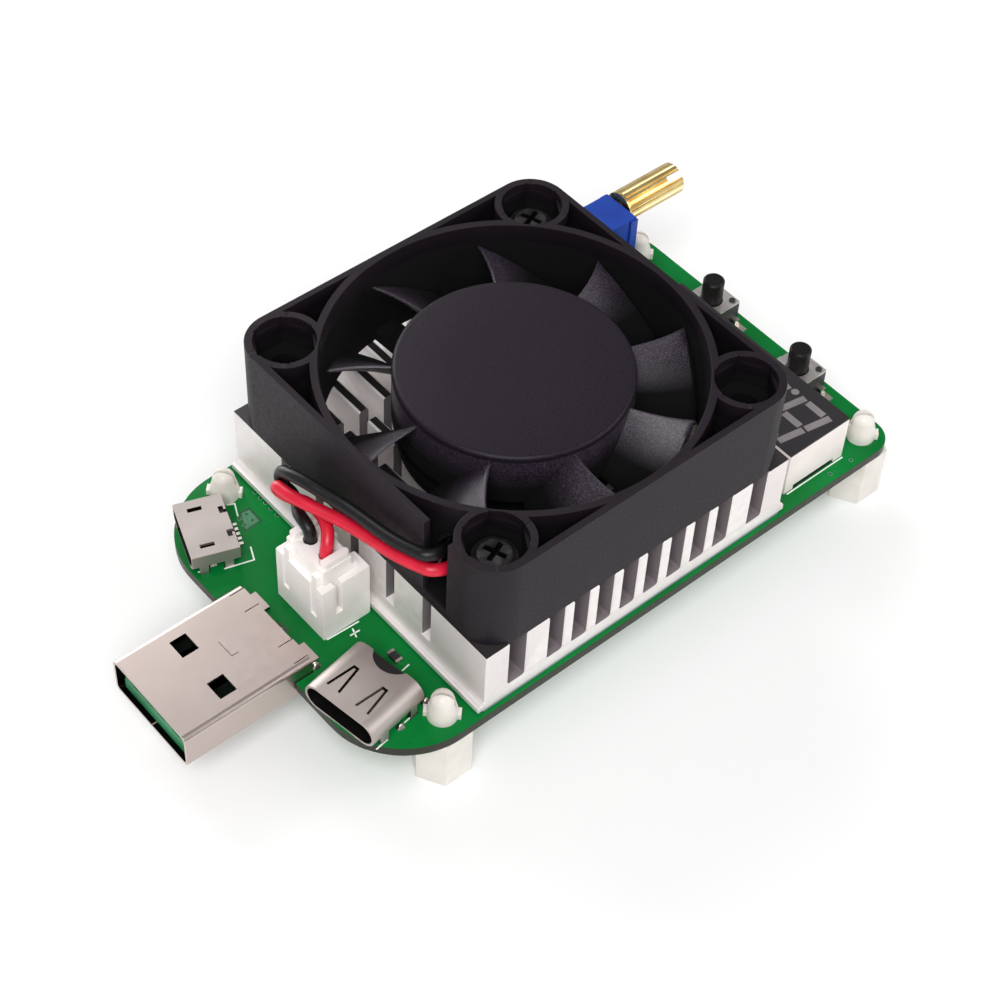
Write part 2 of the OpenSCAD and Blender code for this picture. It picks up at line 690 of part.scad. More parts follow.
module header_pins() {
    color("#cfc9bd") on_board() for (s = [-1, 1])
        block(cavity_x, s * head_pitch / 2, 0.64, 0.64, -board_t - 1.8, board_t + 6.8);
}

house_x = head_x - 1.6;
house_y = head_y - 1.6;

module plug_housing() {
    color("#f6f1ee") on_board() difference() {
        union() {
            block(head_cx, 0, house_x, house_y, 1.8, house_top - 1.8);
            for (s = [-1, 1]) block(head_cx - house_x / 2, s * 2.2, 1.2, 0.8, 2.7, house_top - 3.4);
            for (s = [-1, 1]) translate([head_cx - 0.35, s * (house_y / 2 - 0.5), house_top - 1]) {
                block(0, 0, 2.4, 0.8, 0, 1.8);
                for (e = [-1, 1]) translate([1.2 * e, 0, 0]) cylinder(r = 0.4, h = 1.8);
            }
        }
        for (s = [-1, 1]) {
            block(cavity_x, s * head_pitch / 2, 1.7, 1.7, 1, house_top - 2.4);
            translate([cavity_x, s * head_pitch / 2, 1]) cylinder(r = lead_r + 0.08, h = house_top);
            block(head_cx + house_x / 2, s * head_pitch / 2, 1.6, 1.3, 4.2, 2.2);
        }
        block(head_cx + house_x / 2, 0, 1.4, house_y + 1, house_top - 1.3, 3);
    }
}

module plug_contacts() {
    color("#c8c2b4") on_board() for (s = [-1, 1]) translate([cavity_x, s * head_pitch / 2, 0]) {
        difference() {
            block(0, 0, 1.6, 1.6, 2, 4);
            block(0, 0, 0.66, 1.2, 1, 4.1);
        }
        difference() {
            translate([0, 0, 6]) cylinder(r = lead_r + 0.15, h = house_top - 8);
            translate([0, 0, 6.2]) cylinder(r = lead_r + 0.02, h = house_top);
        }
    }
}

// Plug

module plug_frame() {
    on_board() translate([0, 0, plug_rise - plug_h / 2]) rotate([90, 0, 90])
        translate([0, 0, -plug_out]) children();
}

plug_len = plug_out + plug_in;

module plug_shell() {
    color("#cfc6c0") {
        plug_frame() difference() {
            linear_extrude(plug_len) rounded(plug_w, plug_h, 0.6);
            translate([0, 0, -1]) linear_extrude(plug_len + 2)
                rounded(plug_w - 2 * sheet_t, plug_h - 2 * sheet_t, 0.6 - sheet_t / 2);
            for (sx = [-1, 1], sy = [-1, 1]) translate([sx * 3.1, sy * plug_h / 2, 6.3]) cube([2.3, 2, 1.9], center = true);
            translate([0, -plug_h / 2, plug_len / 2]) cube([0.12, 2, plug_len + 2], center = true);
            for (s = [-1, 1]) translate([s * 4, plug_h / 2, plug_len]) cube([2.6, 2 * sheet_t, 3.2], center = true);
        }
        on_board() block(-3.2, 0.35, 0.8, 2.2, plug_rise - sheet_t, sheet_t + 0.08);
        on_board() for (s = [-1, 1]) {
            block(plug_in + 0.65, s * 4, 1.5, 2.4, 0, sheet_t);
            block(plug_in - 0.05, s * 4, 0.3, 2.4, 0, plug_rise);
            block(plug_in - 0.9, s * 4, 2, 2.4, plug_rise - sheet_t, sheet_t);
        }
    }
}

tongue_h = 1.95;
tongue_top = plug_rise - plug_h + sheet_t + tongue_h;

module plug_tongue() {
    color("#2f9160") on_board() difference() {
        union() {
            block(-plug_out / 2 + 0.2, 0, plug_out - 0.8, plug_w - 2 * sheet_t - 0.9, tongue_top - tongue_h, tongue_h);
            block(-2.2, 0, 3.6, plug_w - 2 * sheet_t - 0.9, tongue_top - tongue_h, plug_h - 2 * sheet_t);
        }
        plug_blade_places() block(-plug_out / 2, 0, plug_out + 8, 1.2, tongue_top - 0.25, 0.25 + eps);
        block(-plug_out + 0.6, 5.2, 1.6, 0.3, tongue_top - 0.6, 3);
    }
}

module plug_blade_places() {
    for (y = [-3.5, -1, 1, 3.5]) translate([0, y, 0]) children();
}

module plug_blades() {
    color("#d9b65a") on_board() plug_blade_places() {
        block(-plug_out / 2 + 0.6, 0, plug_out - 2.6, 1.2, tongue_top - 0.25, 0.2);
        block(0.5, 0, 3, 1.2, tongue_top - 0.25, 0.2);
        block(plug_in - 0.2, 0, 0.2, 1.2, -board_t - 0.2, tongue_top + board_t - 0.05 + 0.2);
        block(plug_in + 0.8, 0, 2.2, 1.2, -board_t - 0.2, 0.2);
    }
}

// Sockets

module at_socket_c() {
    translate([3.78, -12.07 - (fan_w - 40) / 4, 0]) rotate(9) children();
}

module socket_c_leg_places() {
    for (x = [-1.9, 2.1], s = [-1, 1]) translate([x, s * (sock_c_w / 2 - sheet_t / 2), 0]) children();
}

module socket_c_outline(inset) {
    r = sock_c_h / 2 - inset;
    translate([0, sock_c_h / 2]) {
        square([sock_c_w - sock_c_h, 2 * r], center = true);
        for (s = [-1, 1]) translate([s * (sock_c_w / 2 - sock_c_h / 2), 0]) circle(r = r);
    }
}

// slit round a spring finger that narrows away from the mouth
module spring_cut() {
    difference() {
        polygon([[-0.88, -2.4], [0.88, -2.4], [0.36, 0.95], [-0.36, 0.95]]);
        polygon([[-0.62, -2.5], [0.62, -2.5], [0.12, 0.65], [-0.12, 0.65]]);
    }
}

module socket_c_shell() {
    color("#bdb5b0") on_board() at_socket_c() {
        translate([-sock_c_l / 2, 0, 0]) rotate([90, 0, 90]) difference() {
            linear_extrude(sock_c_l) socket_c_outline(0);
            translate([0, 0, -1]) linear_extrude(sock_c_l + 2) socket_c_outline(sheet_t);
            for (s = [-1, 1]) translate([s * 1.85, sock_c_h + 1, sock_c_l / 2]) rotate([90, 0, 0])
                linear_extrude(2) spring_cut();
            translate([0, sock_c_h + 1, sock_c_l + 1.05]) rotate([90, 0, 0]) cylinder(r = 2.35, h = 2);
        }
        socket_c_leg_places() block(0, 0, 0.9, sheet_t, 0.05 - board_t, board_t - 0.05 + sock_c_h / 2);
    }
}

module socket_c_tongue() {
    color("#1e1e22") on_board() at_socket_c() {
        block(0, 0, sock_c_l - 1.8, 6.6, sock_c_h / 2 - 0.35, 0.7);
        translate([1.6, 0, 0]) rotate([90, 0, 90]) linear_extrude(sock_c_l / 2 - 1.6) socket_c_outline(sheet_t);
        block(sock_c_l / 2 + 0.15, 0, 0.3, 6.6, 0.15, 1.6);
    }
}

module socket_c_contacts() {
    color("#d6b25a") on_board() at_socket_c() for (i = [-4 : 4]) translate([0, i * 0.7, 0]) {
        block(-0.5, 0, 4.2, 0.3, sock_c_h / 2 + 0.35, 0.08);
        block(-0.5, 0, 4.2, 0.3, sock_c_h / 2 - 0.43, 0.08);
        block(sock_c_l / 2 + 0.45, 0, 0.9, 0.3, 0, 0.15);
    }
}

module at_socket_m() {
    translate([3.6, 13.55 + (fan_w - 40) / 4, 0]) rotate(-20) children();
}

module socket_m_leg_places() {
    for (x = [-1.3, 1.3], s = [-1, 1]) translate([x, s * (sock_m_w / 2 - sheet_t / 2), 0]) children();
}

module socket_m_outline(i) {
    w = sock_m_w / 2 - i;
    polygon([[-w, 1 + i / 3], [-w + 1.1 - i / 2, i], [w - 1.1 + i / 2, i], [w, 1 + i / 3], [w, sock_m_h - i], [-w, sock_m_h - i]]);
}

module socket_m_shell() {
    color("#c8bdb8") on_board() at_socket_m() {
        translate([-sock_m_l / 2, 0, 0]) rotate([90, 0, 90]) difference() {
            linear_extrude(sock_m_l) socket_m_outline(0);
            translate([0, 0, -1]) linear_extrude(sock_m_l + 2) socket_m_outline(sheet_t);
            for (s = [-1, 1]) {
                translate([s * 2.45, sock_m_h, 1.95]) cube([0.5, 2, 1.5], center = true);
                translate([s * 1.6, sock_m_h, sock_m_l - 0.5]) cube([0.9, 2, 0.5], center = true);
                translate([s * 1.35, sock_m_h, sock_m_l - 0.2]) cube([0.4, 2, 0.5], center = true);
            }
        }
        socket_m_leg_places() block(0, 0, 0.9, sheet_t, 0.05 - board_t, board_t - 0.05 + 1.6);
    }
}

module socket_m_tongue() {
    color("#1e1e22") on_board() at_socket_m() {
        block(-0.1, 0, sock_m_l - 1.2, 3.6, sock_m_h - sheet_t - 1.15, 0.55);
        translate([0.9, 0, 0]) rotate([90, 0, 90]) linear_extrude(sock_m_l / 2 - 0.9) socket_m_outline(sheet_t);
        block(sock_m_l / 2 + 0.15, 0, 0.3, 4, 0.15, 1.2);
    }
}

module socket_m_contacts() {
    color("#d6b25a") on_board() at_socket_m() for (i = [-2 : 2]) translate([0, i * 0.65, 0]) {
        block(-0.5, 0, 2.7, 0.35, sock_m_h - sheet_t - 1.23, 0.08);
        block(sock_m_l / 2 + 0.45, 0, 0.9, 0.35, 0, 0.15);
    }
}

// Display

module display_pin_places() {
    for (x = [1, display_x - 1], i = [0 : 5])
        translate([display_x0 + x, display_y0 + display_y / 2 + (i - 2.5) * 2.54, 0]) children();
}

module display_case() {
    color("#f0ece6") on_board() translate([display_x0, display_y0, 0]) difference() {
        cube([display_x, display_y, display_z - 0.2]);
        translate([1.3, -1, -1]) cube([display_x - 2.6, display_y + 2, 1.6]);
        translate([-1, 1.3, -1]) cube([display_x + 2, display_y - 2.6, 1.6]);
        for (x = [1, display_x - 1], i = [0 : 5])
            translate([x, display_y / 2 + (i - 2.5) * 2.54, -1]) cylinder(d = 0.5, h = 4);
    }
}

// seven bars and a point of one digit, leaned to the side by moving each row
module digit_shape() {
    h = digit_h;
    w = 3.65;
    t = 0.85;
    lean = tan(10);
    for (k = [-1, 0, 1]) translate([k * (h / 2 - t / 2), -k * (h / 2 - t / 2) * lean])
        square([t, w - t - 0.4], center = true);
    for (k = [-1, 1], s = [-1, 1]) translate([k * h / 4, s * w / 2 - k * h / 4 * lean]) rotate(-10)
        square([h / 2 - 0.2, t], center = true);
    translate([h / 2 - t / 2 + 0.1, w / 2 + 0.75]) circle(r = 0.45);
}

module digit_places() {
    for (i = [0 : 3]) translate([display_x / 2 - 0.6, display_y / 2 + (i - 1.5) * digit_pitch - 0.15, 0]) children();
}

module display_face() {
    color("#1b1a1d") on_board() translate([display_x0, display_y0, display_z - 0.2]) difference() {
        cube([display_x, display_y, 0.2]);
        translate([0, 0, -1]) linear_extrude(3) digit_places() digit_shape();
    }
}

module display_windows() {
    color("#8d8a8e") on_board() translate([display_x0, display_y0, display_z - 0.2])
        linear_extrude(0.18) digit_places() digit_shape();
}

module display_pins() {
    color("#c9c9cb") on_board() display_pin_places()
        translate([0, 0, -board_t - 1.8]) cylinder(d = 0.5, h = board_t + 4.6);
}

// Switches

switch_ys = [switch_y_a, -switch_y_b];
leg_t = 0.2;
leg_x = switch_w / 2 - 0.55;
flange_r = button_d / 2 + 0.45;

module at_switch(i) {
    on_board() translate([switch_x, switch_ys[i], 0]) children();
}

module switch_leg_places() {
    for (sx = [-1, 1], sy = [-1, 1]) scale([1, sy, 1]) translate([sx * leg_x, switch_w / 2, 0]) children();
}

module switch_bases() {
    color("#2a282b") for (i = [0, 1]) at_switch(i) {
        difference() {
            block(0, 0, switch_w, switch_w, 0, switch_h - 0.25);
            translate([0, 0, 0.6]) cylinder(r = flange_r + 0.15, h = 5);
            for (sx = [-1, 1], sy = [-1, 1])
                block(sx * leg_x, sy * (switch_w / 2 - 0.15), 0.7, 0.3 + 2 * eps, 0.6, leg_t);
        }
        for (sx = [-1, 1], sy = [-1, 1])
            translate([sx * (switch_w / 2 - 0.6), sy * (switch_w / 2 - 0.6), 0.5]) cylinder(r = 0.35, h = switch_h - 0.35);
    }
}

module switch_covers() {
    color("#b3b3b5") for (i = [0, 1]) at_switch(i) difference() {
        block(0, 0, switch_w, switch_w, switch_h - 0.25, 0.25);
        cylinder(r = button_d / 2 + 0.1, h = 9);
        for (sx = [-1, 1], sy = [-1, 1])
            translate([sx * (switch_w / 2 - 0.6), sy * (switch_w / 2 - 0.6), 0]) cylinder(r = 0.35, h = 9);
    }
}

module switch_domes() {
    color("#c2b89a") for (i = [0, 1]) at_switch(i) rotate_extrude()
        polygon([[0, 0.92], [0.6, 0.92], [flange_r, 0.6], [flange_r + 0.1, 0.6], [flange_r + 0.1, 0.66],
            [0.62, 0.98], [0, 0.98]]);
}

module switch_legs() {
    color("#d3d0cc") for (i = [0, 1]) at_switch(i) switch_leg_places() {
        block(0, 0.05, 0.7, 0.7, 0.6, leg_t);
        block(0, 0.5, 0.7, leg_t, 0, 0.8);
        block(0, 1.1, 0.7, 1.4, 0, leg_t);
    }
}

module button() {
    lower = 0.98 + travel + 0.02;
    flange = switch_h - 0.25 - 0.02;
    translate([0, 0, lower]) cylinder(r = 0.8, h = 2);
    translate([0, 0, flange - 0.5]) cylinder(r = flange_r, h = 0.5);
    translate([0, 0, flange - 0.5]) cylinder(d = button_d, h = button_top - flange + 0.3);
    translate([0, 0, button_top - 0.2]) cylinder(d1 = button_d, d2 = button_d - 0.4, h = 0.2);
}

module button_a() {
    color("#28262a") at_switch(0) button();
}

module button_b() {
    color("#28262a") at_switch(1) button();
}

// Trimmer

screw_in_r = 0.6;
screw_gap = 0.03;

module trimmer_pin_places() {
    for (i = [-1, 0, 1]) translate([trim_x1 - trim_l / 2 + i * 2.54, trim_y + (i == 0 ? 1.27 : -1.27), 0]) children();
}

module trimmer_body() {
    color("#2a56c0") on_board() difference() {
        union() {
            block(trim_x1 - trim_l / 2, trim_y, trim_l, trim_w, 0.3, trim_h - 0.3);
            for (sx = [-1, 1], sy = [-1, 1])
                block(trim_x1 - trim_l / 2 + sx * (trim_l / 2 - 0.6), trim_y + sy * (trim_w / 2 - 0.6), 1, 1, 0, 1);
            block(trim_x1 - 0.5, trim_y, 1, trim_w + 0.4, trim_h - 4.6, 4.4);
        }
        translate([trim_x1 - trim_l + 1, knob_y, knob_z]) rotate([0, 90, 0])
            cylinder(r = screw_in_r + screw_gap, h = trim_l + 5);
        trimmer_pin_places() translate([0, 0, -1]) cylinder(d = 0.5, h = 3);
    }
}

module trimmer_shaft() {
    color("#c9b27a") on_board() translate([trim_x1, knob_y, knob_z]) rotate([0, 90, 0]) {
        translate([0, 0, -trim_l + 1.2]) cylinder(r = screw_in_r, h = trim_l);
        difference() {
            translate([0, 0, 0.2]) cylinder(d = knob_d, h = knob_l);
            for (k = [0 : knurls - 1]) rotate(k * 360 / knurls) translate([knob_d / 2 + 0.05, 0, 0.5])
                rotate(45) block(0, 0, 0.26, 0.26, 0, knob_l);
            rotate(-52) block(0, 0, 0.8, knob_d + 1, knob_l - 1.8, 4);
        }
    }
}

module trimmer_pins() {
    color("#c9c9cb") on_board() trimmer_pin_places()
        translate([0, 0, -board_t - 1.6]) cylinder(d = 0.5, h = board_t + 3.6);
}

board();
posts();
heatsink();
thermal_pad();
transistors();
transistor_metal();
chips();
chip_legs();
shunt();
fan_frame();
impeller();
rotor_yoke();
rotor_magnet();
rotor_shaft();
shaft_clip();
bearing();
stator_core();
stator_coils();
motor_board();
fan_screws();
lead_red();
lead_black();
header();
header_pins();
plug_housing();
plug_contacts();
plug_shell();
plug_tongue();
plug_blades();
socket_c_shell();
socket_c_tongue();
socket_c_contacts();
socket_m_shell();
socket_m_tongue();
socket_m_contacts();
display_case();
display_face();
display_windows();
display_pins();
switch_bases();
switch_covers();
switch_domes();
switch_legs();
button_a();
button_b();
trimmer_body();
trimmer_shaft();
trimmer_pins();
resistor();
resistor_ends();
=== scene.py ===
import json
import math

import bmesh
import bpy
import numpy as np
from mathutils import Matrix, Vector


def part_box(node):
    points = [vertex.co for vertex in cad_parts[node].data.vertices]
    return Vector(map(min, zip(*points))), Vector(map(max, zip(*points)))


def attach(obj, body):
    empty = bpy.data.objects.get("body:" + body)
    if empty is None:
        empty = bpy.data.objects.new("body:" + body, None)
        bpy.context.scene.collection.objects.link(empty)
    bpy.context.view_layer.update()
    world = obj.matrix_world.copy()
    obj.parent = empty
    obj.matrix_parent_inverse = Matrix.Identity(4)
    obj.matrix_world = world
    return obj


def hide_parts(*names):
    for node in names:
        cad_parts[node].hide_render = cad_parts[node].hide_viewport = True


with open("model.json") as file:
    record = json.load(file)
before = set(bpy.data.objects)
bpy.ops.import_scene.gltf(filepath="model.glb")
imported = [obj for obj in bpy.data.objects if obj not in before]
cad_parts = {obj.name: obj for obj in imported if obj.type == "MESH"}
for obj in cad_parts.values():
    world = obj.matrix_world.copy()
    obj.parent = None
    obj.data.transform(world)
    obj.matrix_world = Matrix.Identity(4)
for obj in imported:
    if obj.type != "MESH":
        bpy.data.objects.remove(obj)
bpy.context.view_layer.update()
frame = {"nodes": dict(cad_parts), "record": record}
nodes = frame["nodes"]
bodyOf = {n: b for b, members in frame["record"]["behaviour"]["bodies"].items() for n in members}
slotOf = {s["node"]: s["material_slot"] for s in frame["record"]["subparts"]}
mm = 0.001


def cornersOf(node):
    # lowest and highest corner of a solid, in millimetres
    return [[round(v / mm, 3) for v in corner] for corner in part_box(node)]


fanLow, fanHigh = cornersOf("fan_frame")
deck = cornersOf("board")[1][2]  # upper face of the board, in millimetres above the feet
fanFloor = fanLow[2]  # underside of the fan
fanAxis = [(low + high) / 2 for low, high in zip(fanLow[:2], fanHigh[:2])]
scene = bpy.context.scene
print("frame:", len(nodes), "nodes")

# camera at the photograph's angle, its place in millimetres; lamps and floor in metres
viewpoint = {"place": (-99.53, -108.95, 181.42), "lens": 79.078, "sensor": 36.0,
             "right": (0.76206155, -0.64635231, 0.03861199),
             "ahead": (0.44126263, 0.47476616, -0.7615014), "clip": (0.01, 10)}


def makeCamera(v):
    right, ahead = Vector(v["right"]).normalized(), Vector(v["ahead"]).normalized()
    up = right.cross(ahead)
    data = bpy.data.cameras.new("viewpoint")
    data.lens, data.sensor_width = v["lens"], v["sensor"]
    data.clip_start, data.clip_end = v["clip"]
    camera = bpy.data.objects.new("viewpoint", data)
    turn = Matrix((right, up, -ahead)).transposed().to_4x4()
    camera.matrix_world = Matrix.Translation(Vector(v["place"]) * mm) @ turn
    scene.collection.objects.link(camera)
    scene.camera = camera


studio = {"sky": (1.0, 0.99, 0.985), "skyPower": 0.33, "aim": (0, 0, 0.01),
          "floor": (0.90, 0.90, 0.90), "floorRough": 0.9, "floorHalf": 3, "floorHeight": -2e-5,
          "lamps": [  # name, place, size, power
              ("key", (-0.30, -0.28, 0.52), 0.42, 3.3), ("fill", (0.42, -0.40, 0.34), 0.50, 1.45),
              ("rim", (0.10, 0.55, 0.40), 0.45, 1.6), ("back", (0.02, 0.62, 0.07), 0.30, 1.7)]}


def makeStudio(s):
    world = bpy.data.worlds.new("softRoom")
    world.use_nodes = True
    sky = world.node_tree.nodes["Background"]
    sky.inputs["Color"].default_value = (*s["sky"], 1)
    sky.inputs["Strength"].default_value = s["skyPower"]
    scene.world = world
    for name, place, size, power in s["lamps"]:
        data = bpy.data.lights.new(name, "AREA")
        data.shape, data.size, data.energy = "DISK", size, power
        lamp = bpy.data.objects.new(name, data)
        lamp.location = place
        lamp.rotation_mode = "QUATERNION"
        lamp.rotation_quaternion = (Vector(s["aim"]) - Vector(place)).to_track_quat("-Z", "Y")
        scene.collection.objects.link(lamp)
    mesh = bpy.data.meshes.new("floor")
    half, height = s["floorHalf"], s["floorHeight"]
    corners = [(-half, -half, height), (half, -half, height), (half, half, height), (-half, half, height)]
    mesh.from_pydata(corners, [], [(0, 1, 2, 3)])
    floor = bpy.data.objects.new("floor", mesh)
    paint = bpy.data.materials.new("floorPaper")
    paint.use_nodes = True
    paper = paint.node_tree.nodes["Principled BSDF"]
    paper.inputs["Base Color"].default_value = (*s["floor"], 1)
    paper.inputs["Roughness"].default_value = s["floorRough"]
    mesh.materials.append(paint)
    scene.collection.objects.link(floor)
    scene.view_settings.view_transform = "Standard"


makeCamera(viewpoint)
makeStudio(studio)
print("camera, studio and floor set")


# shared shader groups

def startGroup(name, inputs, outputs):
    tree = bpy.data.node_groups.new(name, "ShaderNodeTree")
    for label, kind, value in inputs:
        socket = tree.interface.new_socket(label, in_out="INPUT", socket_type=kind)
        socket.default_value = value
    for label, kind in outputs:
        tree.interface.new_socket(label, in_out="OUTPUT", socket_type=kind)
    return tree, tree.nodes.new("NodeGroupInput"), tree.nodes.new("NodeGroupOutput")


def addNode(tree, kind, settings=None, **values):
    node = tree.nodes.new(kind)
    for key, value in (settings or {}).items():
        setattr(node, key, value)
    for key, value in values.items():
        node.inputs[key.replace("_", " ")].default_value = value
    return node


def makeGrain():
    # noise on object coordinates: stretched grain for bump and roughness, mottle for changes of colour
    tree, first, last = startGroup("grain", [
        ("Fine", "NodeSocketFloat", 4000.0), ("Coarse", "NodeSocketFloat", 200.0),
        ("Stretch", "NodeSocketVector", (1, 1, 1))],
        [("Grain", "NodeSocketFloat"), ("Mottle", "NodeSocketFloat")])
    link = tree.links.new
    place = addNode(tree, "ShaderNodeTexCoord")
    pull = addNode(tree, "ShaderNodeVectorMath", {"operation": "MULTIPLY"})
    fine = addNode(tree, "ShaderNodeTexNoise", Detail=3.0, Roughness=0.6)
    coarse = addNode(tree, "ShaderNodeTexNoise", Detail=2.0, Roughness=0.5)
    link(place.outputs["Object"], pull.inputs[0])
    link(first.outputs["Stretch"], pull.inputs[1])
    link(pull.outputs[0], fine.inputs["Vector"])
    link(place.outputs["Object"], coarse.inputs["Vector"])
    link(first.outputs["Fine"], fine.inputs["Scale"])
    link(first.outputs["Coarse"], coarse.inputs["Scale"])
    link(fine.outputs["Fac"], last.inputs["Grain"])
    link(coarse.outputs["Fac"], last.inputs["Mottle"])
    return tree


def makeWear():
    # mask of raised edges, broken up by noise: pointiness mapped from low to high, times a noise
    tree, first, last = startGroup("edgeWear", [
        ("Low", "NodeSocketFloat", 0.52), ("High", "NodeSocketFloat", 0.62),
        ("Breakup", "NodeSocketFloat", 900.0)], [("Mask", "NodeSocketFloat")])
    link = tree.links.new
    shape = addNode(tree, "ShaderNodeNewGeometry")
    spread = addNode(tree, "ShaderNodeMapRange")
    place = addNode(tree, "ShaderNodeTexCoord")
    noise = addNode(tree, "ShaderNodeTexNoise", Detail=2.0)
    product = addNode(tree, "ShaderNodeMath", {"operation": "MULTIPLY"})
    link(shape.outputs["Pointiness"], spread.inputs["Value"])
    link(first.outputs["Low"], spread.inputs["From Min"])
    link(first.outputs["High"], spread.inputs["From Max"])
    link(place.outputs["Object"], noise.inputs["Vector"])
    link(first.outputs["Breakup"], noise.inputs["Scale"])
    link(spread.outputs[0], product.inputs[0])
    link(noise.outputs["Fac"], product.inputs[1])
    link(product.outputs[0], last.inputs["Mask"])
    return tree


def makeInner():
    # mask of what lies deeper than a skin in a rounded box: radius less the length of the reach past the box
    tree, first, last = startGroup("innerPart", [
        ("Middle", "NodeSocketVector", (0, 0, 0)), ("Half", "NodeSocketVector", (1, 1, 1)),
        ("Radius", "NodeSocketFloat", 0.001), ("Skin", "NodeSocketFloat", 0.0001)],
        [("Mask", "NodeSocketFloat")])
    link = tree.links.new
    place = addNode(tree, "ShaderNodeTexCoord")
    steps = [addNode(tree, "ShaderNodeVectorMath", {"operation": kind})
             for kind in ("SUBTRACT", "ABSOLUTE", "SUBTRACT", "MAXIMUM", "LENGTH")]
    link(place.outputs["Object"], steps[0].inputs[0])
    link(first.outputs["Middle"], steps[0].inputs[1])
    link(first.outputs["Half"], steps[2].inputs[1])
    for before, after in zip(steps, steps[1:]):
        link(before.outputs["Vector"], after.inputs[0])
    depth = addNode(tree, "ShaderNodeMath", {"operation": "SUBTRACT"})
    link(first.outputs["Radius"], depth.inputs[0])
    link(steps[-1].outputs["Value"], depth.inputs[1])
    beyond = addNode(tree, "ShaderNodeMath", {"operation": "GREATER_THAN"})
    link(depth.outputs[0], beyond.inputs[0])
    link(first.outputs["Skin"], beyond.inputs[1])
    link(beyond.outputs[0], last.inputs["Mask"])
    return tree


def makeFacing():
    # mask of walls that look towards a middle point: normal times the way from that point is below a limit
    tree, first, last = startGroup("facingIn", [
        ("Middle", "NodeSocketVector", (0, 0, 0)), ("Limit", "NodeSocketFloat", -0.2 * mm)],
        [("Mask", "NodeSocketFloat")])
    link = tree.links.new
    place = addNode(tree, "ShaderNodeTexCoord")
    way = addNode(tree, "ShaderNodeVectorMath", {"operation": "SUBTRACT"})
    along = addNode(tree, "ShaderNodeVectorMath", {"operation": "DOT_PRODUCT"})
    mask = addNode(tree, "ShaderNodeMath", {"operation": "LESS_THAN"})
    link(place.outputs["Object"], way.inputs[0])
    link(first.outputs["Middle"], way.inputs[1])
    link(way.outputs["Vector"], along.inputs[0])
    link(place.outputs["Normal"], along.inputs[1])
    link(along.outputs["Value"], mask.inputs[0])
    link(first.outputs["Limit"], mask.inputs[1])
    link(mask.outputs[0], last.inputs["Mask"])
    return tree


def makeAxes():
    # object place and normal as six numbers
    labels = {"Object": ("X", "Y", "Z"), "Normal": ("Nx", "Ny", "Nz")}
    outputs = [(name, "NodeSocketFloat") for names in labels.values() for name in names]
    tree, first, last = startGroup("axes", [], outputs)
    place = addNode(tree, "ShaderNodeTexCoord")
    for source, names in labels.items():
        split = addNode(tree, "ShaderNodeSeparateXYZ")
        tree.links.new(place.outputs[source], split.inputs[0])
        for k, name in enumerate(names):
            tree.links.new(split.outputs[k], last.inputs[name])
    return tree


grainGroup, wearGroup = makeGrain(), makeWear()
innerGroup, facingGroup, axesGroup = makeInner(), makeFacing(), makeAxes()


def useGroup(tree, group, **values):
    node = tree.nodes.new("ShaderNodeGroup")
    node.node_tree = group
    for key, value in values.items():
        node.inputs[key].default_value = value
    return node


def srgb(r, g, b):
    # screen values 0 to 255 to linear light
    c = np.array([r, g, b], float) / 255
    return tuple(np.where(c <= 0.04045, c / 12.92, ((c + 0.055) / 1.055) ** 2.4))


def mixColours(tree, mask, a, b):
    # colour a where the mask is zero, b where it is one; each is a socket or three numbers
    node = addNode(tree, "ShaderNodeMix", {"data_type": "RGBA"})
    tree.links.new(mask, node.inputs[0])
    for socket, colour in ((node.inputs[6], a), (node.inputs[7], b)):
        if isinstance(colour, bpy.types.NodeSocket):
            tree.links.new(colour, socket)
        else:
            socket.default_value = (*colour, 1)
    return node.outputs[2]


def mapValue(tree, source, fromLow, fromHigh, toLow, toHigh):
    node = addNode(tree, "ShaderNodeMapRange")
    tree.links.new(source, node.inputs["Value"])
    for k, value in enumerate((fromLow, fromHigh, toLow, toHigh)):
        node.inputs[k + 1].default_value = value
    return node.outputs[0]


def timesOf(tree, *sources):
    # product of several masks
    result = sources[0]
    for source in sources[1:]:
        node = addNode(tree, "ShaderNodeMath", {"operation": "MULTIPLY"})
        tree.links.new(result, node.inputs[0])
        tree.links.new(source, node.inputs[1])
        result = node.outputs[0]
    return result


def tint(material, mask, colour):
    # lay a colour over the base colour where the mask is set
    tree = material.node_tree
    socket = tree.nodes["Principled BSDF"].inputs["Base Color"]
    tree.links.new(mixColours(tree, mask, socket.links[0].from_socket, colour), socket)


def dull(material, mask):
    # the roughness rises to the mask where that is higher
    tree = material.node_tree
    socket = tree.nodes["Principled BSDF"].inputs["Roughness"]
    higher = addNode(tree, "ShaderNodeMath", {"operation": "MAXIMUM"})
    tree.links.new(socket.links[0].from_socket, higher.inputs[0])
    tree.links.new(mask, higher.inputs[1])
    tree.links.new(higher.outputs[0], socket)


noiseRange = (0.3, 0.7)  # where most of a noise's values lie


